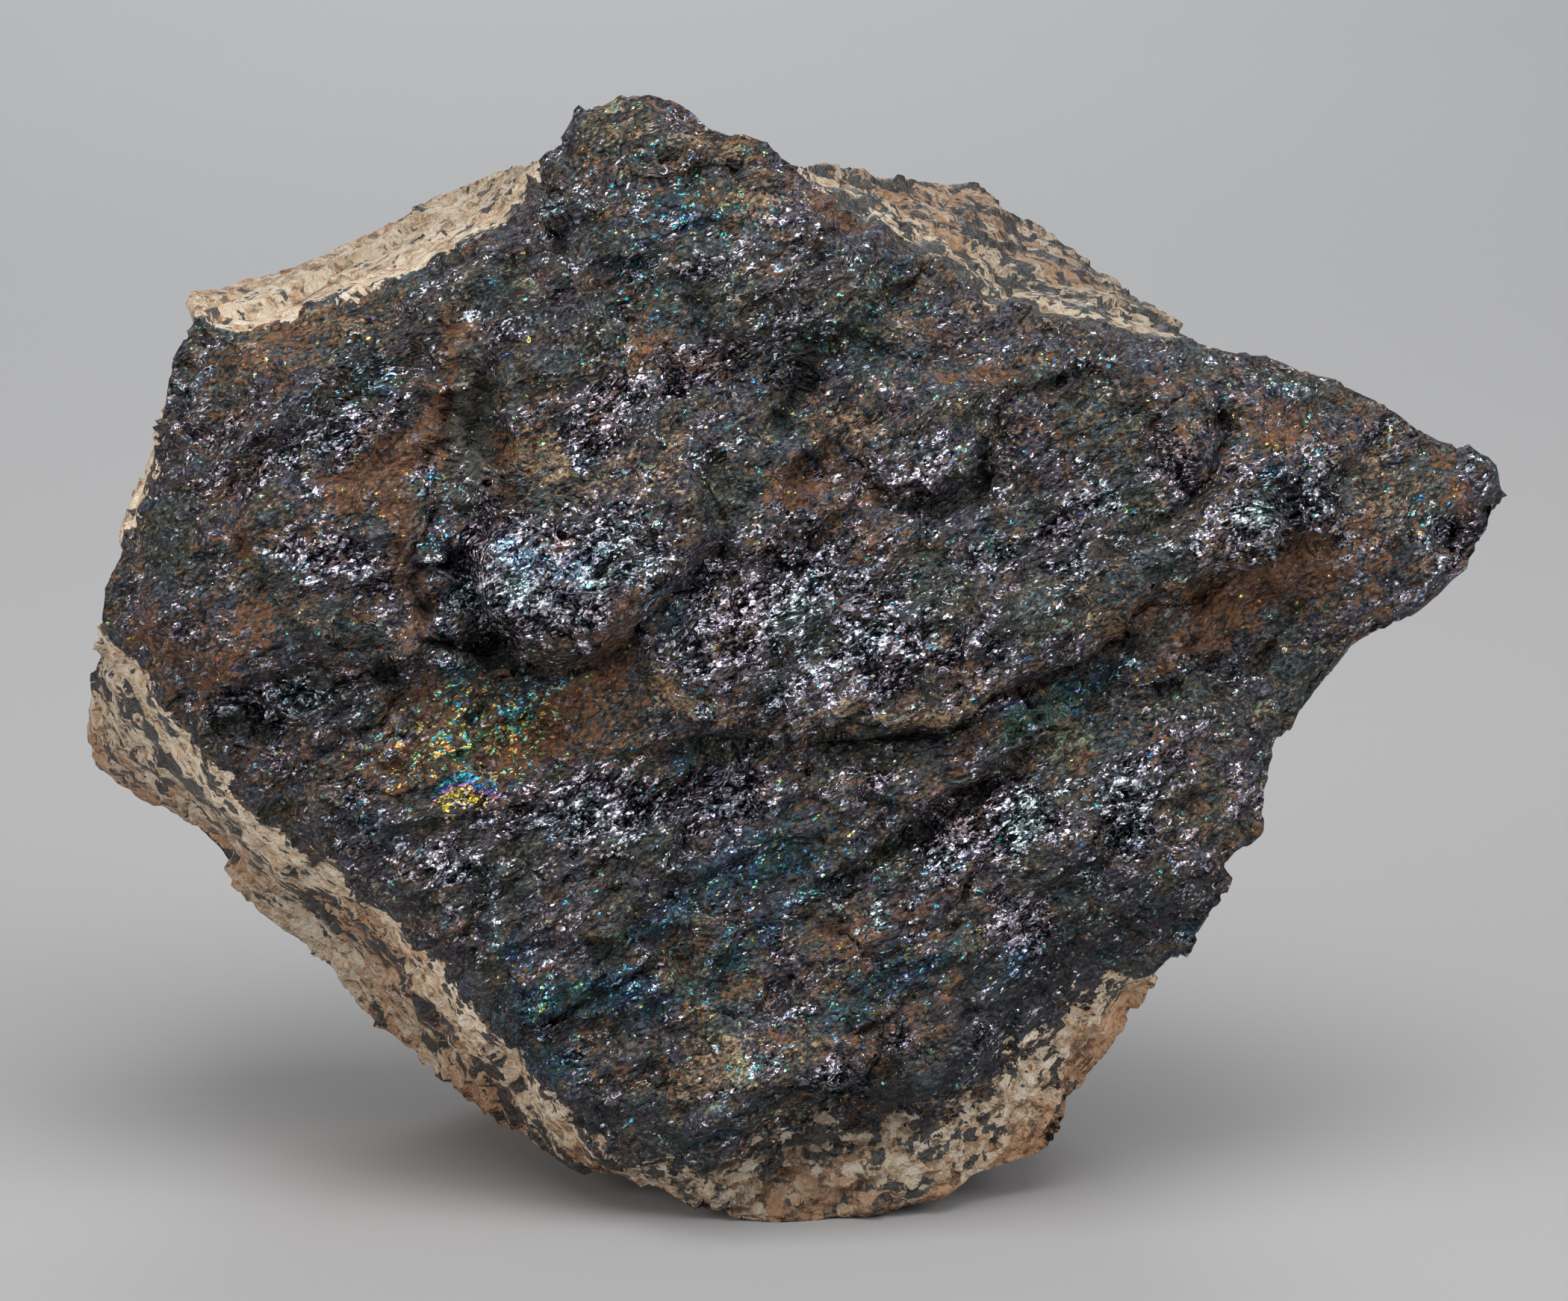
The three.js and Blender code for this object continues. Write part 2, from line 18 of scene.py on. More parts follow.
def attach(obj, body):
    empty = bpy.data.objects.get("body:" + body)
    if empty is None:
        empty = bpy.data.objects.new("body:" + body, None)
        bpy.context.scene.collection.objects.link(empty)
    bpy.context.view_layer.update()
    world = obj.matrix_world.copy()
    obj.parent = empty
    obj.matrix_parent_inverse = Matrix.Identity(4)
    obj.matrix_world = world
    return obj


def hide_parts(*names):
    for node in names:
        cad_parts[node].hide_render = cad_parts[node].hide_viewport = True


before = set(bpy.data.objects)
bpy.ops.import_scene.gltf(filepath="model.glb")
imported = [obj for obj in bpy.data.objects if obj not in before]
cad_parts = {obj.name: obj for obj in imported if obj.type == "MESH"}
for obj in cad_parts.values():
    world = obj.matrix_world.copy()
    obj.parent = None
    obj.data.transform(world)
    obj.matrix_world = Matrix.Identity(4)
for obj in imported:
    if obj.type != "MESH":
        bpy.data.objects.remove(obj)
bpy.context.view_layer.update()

log = logging.getLogger("peacock_ore")

MM = 0.001
TINY = 1e-9

Array = np.ndarray
Triple = tuple[float, float, float]
Colour = tuple[float, float, float]
Pair = tuple[float, float]


# Noise ------------------------------------------------------------------------------------------

HASH_MIX = (374761393, 668265263, 1274126177, 1103515245)
HASH_RANGE = 2**32
WORD = HASH_RANGE - 1
SEED_STRIDE = 8
NEIGHBOURS = 27


def fade(t: Array) -> Array:
    """Smooth step from 0 to 1: three t squared less two t cubed."""
    return t * t * (3 - 2 * t)


def mix(a: Array, b: Array, t: Array) -> Array:
    """Straight blend from a to b by the share t."""
    return a + (b - a) * t


def lattice_value(corner: Array, seed: int) -> Array:
    """Fixed random numbers from 0 to 1, one for each lattice corner.

    Args:
        corner: whole numbers, one row of three for each corner.
        seed: picks one of many unlike sets of numbers.

    Returns:
        One number for each row.
    """
    x, y, z = corner.T
    hashed = (x * HASH_MIX[0] + y * HASH_MIX[1] + z * HASH_MIX[2] + seed * HASH_MIX[3]) & WORD
    hashed = ((hashed ^ (hashed >> 13)) * HASH_MIX[2]) & WORD
    return (hashed ^ (hashed >> 16)) / HASH_RANGE


def lattice_vector(corner: Array, seed: int) -> Array:
    """Three fixed random numbers from 0 to 1 for each lattice corner, as rows of three."""
    return np.stack([lattice_value(corner, seed * SEED_STRIDE + axis) for axis in range(3)], axis=1)


def smooth_noise(place: Array, seed: int) -> Array:
    """Smooth noise from -1 to 1.

    The eight lattice values round a point are blended by the faded distances to their corners.

    Args:
        place: points in cells, as rows of three.
        seed: which noise.

    Returns:
        One value for each point.
    """
    cell = np.floor(place).astype(np.int64)
    t = fade(place - cell)
    total = np.zeros(len(place))
    for dx in (0, 1):
        for dy in (0, 1):
            for dz in (0, 1):
                step = np.array([dx, dy, dz])
                weight = np.prod(np.where(step == 1, t, 1 - t), axis=1)
                total += weight * lattice_value(cell + step, seed)
    return 2 * total - 1


def facet_noise(place: Array, seed: int) -> Array:
    """Height of a surface of tilted facets.

    Every lattice cell holds one seed point with a random tilt. A point takes the tilt of its
    nearest seed: the height is the arm from that seed, multiplied into the tilt.

    Args:
        place: points in cells, as rows of three.
        seed: which facets.

    Returns:
        One height for each point, from about -1 to 1.
    """
    cell = np.floor(place).astype(np.int64)
    best = np.full(len(place), np.inf)
    corner_of = cell.copy()
    arm_of = np.zeros_like(place)
    for k in range(NEIGHBOURS):
        corner = cell + np.array([k % 3 - 1, k // 3 % 3 - 1, k // 9 - 1])
        arm = place - corner - lattice_vector(corner, seed)
        squared = np.einsum("ij,ij->i", arm, arm)
        nearer = squared < best
        best[nearer] = squared[nearer]
        corner_of[nearer] = corner[nearer]
        arm_of[nearer] = arm[nearer]
    tilt = 2 * lattice_vector(corner_of, seed + 1) - 1
    return np.einsum("ij,ij->i", arm_of, tilt)


# Forms of the face ------------------------------------------------------------------------------


@dataclass(frozen=True)
class Oval:
    """A turned ellipse on the face: its centre, half length, half width, turn and amount."""

    across: float
    up: float
    length: float
    width: float
    turn_deg: float
    amount: float = 1.0

    def distance(self, across: Array, up: Array) -> Array:
        """Distance from the centre, where the ellipse's edge is at 1.

        Args:
            across: places on the face.
            up: places on the face.

        Returns:
            The length of the place once it is turned and divided by the half length and width.
        """
        turn = math.radians(self.turn_deg)
        dx, dy = across - self.across, up - self.up
        along = dx * math.cos(turn) + dy * math.sin(turn)
        over = dy * math.cos(turn) - dx * math.sin(turn)
        return np.hypot(along / self.length, over / self.width)

    def swell(self, across: Array, up: Array) -> Array:
        """A rounded form: the amount, falling with the square of the distance as a bell."""
        return self.amount * np.exp(-self.distance(across, up) ** 2)

    def pit(self, across: Array, up: Array, edge: float) -> Array:
        """A form with a flat middle whose wall falls over the share `edge` of its radius."""
        inside = (1 + edge / 2 - self.distance(across, up)) / edge
        return self.amount * fade(np.clip(inside, 0, 1))


@dataclass(frozen=True)
class Line:
    """A line of points on the face that dies away towards both ends."""

    points: tuple[Pair, ...]
    taper: float = 0.18

    def nearest(self, across: Array, up: Array) -> tuple[Array, Array]:
        """The nearest place on the line.

        Each stretch is tried in turn: the point is dropped square onto it, held between its ends.

        Args:
            across: places on the face.
            up: places on the face.

        Returns:
            The distance, positive on the left of the line, and the line's strength there.
        """
        best = np.full(across.shape, np.inf)
        signed = np.zeros(across.shape)
        share = np.zeros(across.shape)
        stretches = len(self.points) - 1
        for i in range(stretches):
            (ax, ay), (bx, by) = self.points[i], self.points[i + 1]
            dx, dy = bx - ax, by - ay
            px, py = across - ax, up - ay
            t = np.clip((px * dx + py * dy) / (dx * dx + dy * dy), 0, 1)
            distance = np.hypot(px - t * dx, py - t * dy)
            nearer = distance < best
            side = np.where(dx * py - dy * px < 0, -1.0, 1.0)
            best = np.where(nearer, distance, best)
            signed = np.where(nearer, side * distance, signed)
            share = np.where(nearer, (i + t) / stretches, share)
        strength = fade(np.clip(np.minimum(share, 1 - share) / self.taper, 0, 1))
        return signed, strength


@dataclass(frozen=True)
class Groove:
    """A rounded groove along a line, with its half width and depth."""

    line: Line
    width: float
    depth: float

    def share(self, across: Array, up: Array) -> Array:
        """How far into the groove a place is: a bell of the distance from the line."""
        signed, strength = self.line.nearest(across, up)
        return strength * np.exp(-((signed / self.width) ** 2))

    def height(self, across: Array, up: Array) -> Array:
        """Minus the depth, by the share."""
        return -self.depth * self.share(across, up)


@dataclass(frozen=True)
class Ledge:
    """A step along a line whose left side stands up.

    The height is lost over `steep` at the line. Above it the top fades back over the brow, and
    below it the notch closes over the foot.
    """

    line: Line
    drop: float
    brow: float
    foot: float
    steep: float = 1.0

    def height(self, across: Array, up: Array) -> Array:
        """Half the drop above the line and half of it below, each a bell of the distance.

        Args:
            across: places on the face.
            up: places on the face.

        Returns:
            The height at each place.
        """
        signed, strength = self.line.nearest(across, up)
        rise = fade(np.clip(signed / self.steep + 0.5, 0, 1))
        above = np.exp(-((signed / self.brow) ** 2))
        below = -np.exp(-((signed / self.foot) ** 2))
        return self.drop * strength * mix(below, above, rise) / 2


@dataclass(frozen=True)
class Plane:
    """A broken plane of the back: out = level + across and up times their slopes."""

    level: float
    across_slope: float
    up_slope: float

    def out(self, across: Array, up: Array) -> Array:
        """Height of the plane."""
        return self.level + self.across_slope * across + self.up_slope * up


@dataclass(frozen=True)
class Roughness:
    """One layer of the broken surface: size of its cells, height and seed, all fixed."""

    size: float
    height: float
    seed: int


def ovals(*rows: tuple[float, ...]) -> tuple[Oval, ...]:
    """An oval for each row: across, up, half length, half width, turn and, if it isn't 1, amount."""
    return tuple(Oval(*row) for row in rows)


def groove(width: float, depth: float, *points: Pair, taper: float = Line.taper) -> Groove:
    """A groove of a half width and depth through points of the face."""
    return Groove(Line(points, taper), width, depth)


SWELLS = (
    Oval(-51.6, 85.5, 16, 21, 0, 4.5),  # left lobe
    Oval(-19.6, 76, 15, 12, 20, 5),  # overhanging nose
    Oval(-25.9, 56.2, 10.5, 6.5, 15, -4.5),  # rusty hollow
    Oval(8.8, 67.7, 23, 11, 20, 5),  # long middle swell
    Oval(37.2, 42.8, 20, 12, 30, 4.5),  # lower right lobe
    Oval(14.1, 90.8, 15, 9.5, 5, 4),  # upper right lump
    Oval(54.1, 79.3, 6, 5, 20, 4.5),  # pair of knobs, inner
    Oval(63, 81.1, 5, 4.5, 50, 4.5),  # pair of knobs, outer
    Oval(-11.6, 114, 13, 9, 0, 3),  # peak
    Oval(9.2, 106.8, 8, 6.5, 0, 3.5),  # lump under the peak
    Oval(-1.9, 15.7, 11.5, 4.5, 22, 3.5),  # lens at the foot
    Oval(-34.3, 63.9, 6.5, 2.6, 3, 4.8),  # bank below the gap
)

PITS = (
    Oval(77.7, 78.4, 2.8, 2.2, 30, -2.5),
    Oval(15.5, 111.3, 2.8, 1.8, -20, -4),
    Oval(-4.5, 25.5, 4.6, 2.4, 42, -1.2),
    Oval(-58.8, 57.9, 4, 2.4, 0, -2),
    Oval(-48.1, 59.7, 3.6, 2.4, 20, -2),
    Oval(-4.5, 49.1, 2.4, 3.6, -15, -1.5),
)

VALLEY = Line(
    ((-37.4, 104.2), (-36.1, 97.1), (-33.8, 89.1), (-34.5, 81.9), (-37.4, 74.8), (-37.8, 70.5)), 0.4
)
SLANT = Line(
    ((5.2, 38.8), (13.2, 42.8), (22.1, 48.2), (27.5, 52.2), (37.2, 58.8), (51.5, 65.1), (63.9, 72.2))
)
GROOVES = (
    Groove(VALLEY, 6, 3.4),
    Groove(SLANT, 4, 2.2),
    groove(1.8, 2.2, (50.6, 95.3), (51.5, 89.1), (48.8, 83.7), (46.1, 80.2)),
    groove(1.4, 2.2, (57.5, 84.5), (59.3, 80.5), (58.2, 75.5)),
    groove(1.8, 1.8, (-21.4, 119.7), (-11.6, 117.9), (-1.9, 119.7)),
    groove(1.8, 2.8, (18.1, 108.6), (16.4, 104.6), (13.2, 103.3)),
    groove(1.6, 1.2, (6.1, 99.7), (3.5, 92.6), (1.7, 89.1)),
    groove(2.8, 2.2, (-29.4, 24.2), (-21.4, 21.1), (-13.4, 25.9), (-9, 30.8), (-6.8, 33.1)),
)

NOSE_EDGE = Line(
    (
        (-34, 77.3), (-33.6, 74), (-32.1, 70.8), (-30.3, 67.7), (-27.8, 66.4), (-24.4, 63.7),
        (-21.4, 64.4), (-16.1, 67.9), (-11.6, 72.4), (-7.4, 78), (-4.5, 79.3),
    ),
    0.06,
)
MIDDLE_EDGE = Line(
    (
        (-13.4, 60.6), (-7.2, 57.5), (0.4, 55.1), (10.6, 54.4), (18.1, 56.6),
        (24.4, 59.3), (31.5, 62.4), (41.7, 68.6), (50.6, 74.8), (55.9, 77.5),
    )
)
LUMP_EDGE = Line(
    (
        (6.1, 85.5), (13.2, 84.4), (19.5, 81.8), (27, 85.5),
        (25.2, 91.7), (28.4, 94.4), (37.2, 97.1), (44.4, 96.2),
    )
)
RIGHT_BANK = Line(((-33, 101.5), (-31.5, 96), (-28.5, 89), (-28, 82), (-31.5, 75.5), (-32, 69)))
LEDGES = (
    Ledge(NOSE_EDGE, 7, 9, 4, 2.6),
    Ledge(MIDDLE_EDGE, 5, 10, 3.8),
    Ledge(Line(((5.2, 39.5), (13.2, 43.5), (22.1, 48.9), (27.5, 52.9), (37.2, 59.5))), 2.8, 6, 3),
    Ledge(LUMP_EDGE, 2.4, 8, 2),
    Ledge(Line(((-11.6, 10.8), (-2.8, 12.2), (7, 15.7), (12.4, 20.6))), 3.5, 5, 3),
    Ledge(Line(((-65, 60.6), (-57.9, 62.4), (-49.9, 65.1), (-43.6, 63.3), (-37.4, 65.5))), 3, 6, 3),
    Ledge(Line(((30.1, 37.5), (37.2, 41.9), (37.2, 48.2))), 2, 4, 2),
    Ledge(RIGHT_BANK, 2.4, 10, 4),
    Ledge(Line(((-41, 66), (-37, 66.8), (-33, 67), (-29, 65.8), (-26, 63))), 2, 4, 2),
)

# Thin cracks under the ledges and between the lumps; each is also painted dark along its line as shade.
CRACKS = (
    groove(  # nose
        0.45, 1.2, (-30.3, 66.7), (-28.9, 65.4), (-26.3, 63.2), (-24.4, 61.8), (-21.5, 62.7),
        (-18.4, 64), (-15.8, 66.1), (-13.9, 68), (-11.1, 70.8), (-8.8, 73.6), (-6.8, 77), (-4.1, 77.9),
    ),
    groove(0.5, 1.6, (-38.8, 65.8), (-36.4, 65.9), (-33.4, 65.7), (-30.3, 65.6), (-28.2, 64.9)),  # gap
    groove(  # valley lower
        0.55, 1.4, (-36.1, 82.8), (-38.5, 79.5), (-40.1, 76.6), (-40.8, 73.5), (-38.9, 70.4),
        (-37.8, 67.3),
    ),
    groove(0.6, 1.2, (-38.1, 97.1), (-36.9, 93.5), (-37.8, 89.1), (-39.2, 85.5)),  # valley upper
    groove(  # middle
        0.5, 1.2, (-2.3, 55.6), (0.4, 54.8), (4.4, 54.1), (8.8, 54), (13.7, 54.6), (18.6, 55.8),
        (23.9, 58.4),
    ),
    groove(0.5, 0.9, (27.5, 59.7), (31.9, 62.6), (37.2, 65.2), (42.6, 68.1)),  # middle right
    groove(0.5, 1.2, (7.6, 101.5), (5.4, 99.1), (3.3, 95.7), (2.2, 92.2), (2, 89.1)),  # upper right
    groove(0.45, 0.9, (0.4, 78.4), (2.8, 76.8), (5.7, 75.7)),  # under lump
    groove(  # lump
        0.4, 0.9, (13.1, 83), (15.9, 81.8), (19.5, 80.9), (23.9, 82), (25, 84.4), (24.4, 88.2),
        (27, 91.9), (31, 94.4),
    ),
    groove(0.8, 2.0, (13.1, 112.2), (15, 111.6), (17, 111.1)),  # peak slot
    groove(0.45, 1.0, (17.5, 108.4), (17, 106.1), (15.9, 104), (14.1, 103.1)),  # peak right
    groove(  # left hollow
        0.6, 1.2, (-57.9, 61.3), (-53.9, 60.6), (-49.9, 61.3), (-45.6, 62.6), (-43.5, 64.2),
    ),
    groove(  # slant
        0.5, 1.2, (1.7, 35.7), (7, 38.8), (12.4, 41.4), (17.7, 44.4), (22.6, 47.6), (27.5, 50.8),
        (31.5, 53.3),
    ),
    groove(0.5, 1.0, (40.8, 58.4), (46.1, 60.6), (51.5, 63.3), (56.8, 66.7), (62.1, 70.4)),  # slant right
    groove(0.45, 1.0, (40.8, 77.5), (45.2, 80.2), (48.8, 83), (52, 85.7)),  # knobs
    groove(0.5, 1.1, (50.8, 97.1), (51.5, 94), (51.1, 90.4)),  # right line
    groove(0.6, 1.4, (-28.5, 23.6), (-23.2, 24.2), (-17, 26.7), (-11.6, 29.1), (-7.2, 31.7)),  # foot
    groove(0.5, 1.2, (-7.2, 10.8), (-1.9, 13.9), (2.6, 15.1), (7, 17.8), (10.6, 21.3)),  # lens
    groove(0.4, 0.8, (-45.4, 49.1), (-41, 50), (-37.4, 51.3)),  # lower left
    groove(0.4, 0.8, (31, 38.6), (34.8, 41.1), (36.5, 44.6), (37.1, 48.2)),  # lobe
)

# The rim of the dark face, clockwise from its peak: across, up and out.
FACE_RIM = (
    (-14, 129, -8), (-10, 127.5, -8), (-7, 125, -7), (-0.5, 123.5, -7), (3, 120.5, -6),
    (5.5, 117.5, -5), (13.5, 113, -6), (17, 110.5, -7), (23.5, 108, -7), (25, 105, -6),
    (32.5, 104.5, -7), (37.5, 103.5, -8), (42.5, 101.5, -9), (50.5, 100, -10), (58, 98.5, -11),
    (65, 96.5, -12), (72.5, 93, -13), (78, 88.5, -14), (83, 86, -15), (85, 83, -16),
    (83.5, 78.5, -15), (80, 76, -14), (74.5, 71.5, -13), (67, 66, -12), (63, 60.5, -11),
    (58.5, 55, -10), (57, 49.5, -9), (56, 44.5, -9), (52, 40.5, -8), (53, 39, -9),
    (52, 36, -9), (48.5, 31.5, -10), (44.5, 27.5, -11), (38, 26, -10), (33.5, 23.5, -10),
    (29, 19, -10), (24.5, 14.5, -9), (19.5, 12, -8), (13.5, 12, -7), (9, 11, -6),
    (1.5, 9.5, -5), (-3.5, 7, -5), (-5.5, 5, -4), (-11.5, 6, -5), (-19, 7.5, -6),
    (-23.5, 12, -7), (-27, 16.5, -7), (-30.5, 20.5, -8), (-36, 26.5, -8), (-39.5, 30, -8),
    (-43.5, 35.5, -8), (-48, 38, -9), (-52.5, 41, -9), (-58.5, 45, -9), (-62.5, 49, -9),
    (-67, 54.5, -9), (-69.5, 57, -9), (-72.5, 62.5, -9), (-75, 65, -9), (-77, 68, -9),
    (-76.5, 72, -9), (-74, 76.5, -8), (-73, 77.5, -8), (-71, 84, -8), (-70, 88.5, -8),
    (-69.5, 93, -8), (-68.5, 98.5, -9), (-66, 103.5, -9), (-58.5, 103, -8), (-49.5, 106.5, -7),
    (-41.5, 108.5, -7), (-38, 110, -7), (-30.5, 112.5, -7), (-28.5, 114.5, -7), (-27, 117.5, -8),
    (-25.5, 122, -9), (-23.5, 123.5, -9), (-22, 126.5, -9), (-14, 129, -8),
)  # fmt: skip

# The girth of the gneiss where it flares out past that rim, clockwise: across, up and out.
GNEISS_BANDS = (
    # upper right
    (
        (3, 121.5, -15), (6.5, 122, -20), (14, 121, -26), (24, 120, -30), (32.5, 115.5, -30),
        (39, 110, -28), (46, 105, -24), (51, 100.5, -18),
    ),
    # lower right, foot and lower left
    (
        (45, 27, -19), (42.5, 23, -18), (40, 18.5, -17), (35, 13, -16), (34.5, 9, -15),
        (31, 6.5, -14), (23.5, 4.5, -11), (20, 2.5, -10), (9, 0, -8), (1.5, -1, -7),
        (-4.5, -0.5, -7), (-11, 2.5, -8), (-16.5, 4.5, -12), (-24, 5.5, -16), (-31.5, 9, -24),
        (-39.5, 14.5, -32), (-45.5, 19.5, -38), (-53.5, 27, -42), (-62, 33.5, -43), (-68, 41, -43),
        (-74.5, 46, -42), (-81.5, 51, -38), (-82, 55.5, -34), (-80, 62.5, -26), (-78, 68, -17),
    ),
    # left
    ((-75, 77, -16), (-75.5, 78, -17), (-75.5, 80.5, -20), (-73, 86, -20), (-70.5, 93.5, -17)),
    # upper left
    (
        (-66.6, 103.6, -17), (-68, 106.5, -20), (-63.5, 108.5, -28), (-54.5, 112, -30),
        (-47, 115.5, -30), (-39.5, 119.5, -29), (-31.5, 122, -24), (-25.5, 123, -17),
    ),
)  # fmt: skip


# Coats of the ore and its painted shade ----------------------------------------------------------


class Coat(Enum):
    """Kinds of coat that lie on the ore in patches, and painted shade; the value is the name of the mesh
    attribute.
    """

    RUST = "rust"
    TAN = "tan"
    BLUE = "blue"
    GLITTER = "glitter"
    # Painted shade in the cracks, the pits and the gap under the nose, not a coat.
    SHADE = "shade"
    SPOT = "spot"
    GOLD = "gold"
    OLIVE = "olive"
    # A smooth band of ore at the rim, partly painted shade where the edge faces down.
    SHADED_SELVAGE = "selvage"
    SAGE = "sage"
    IRIS = "iris"


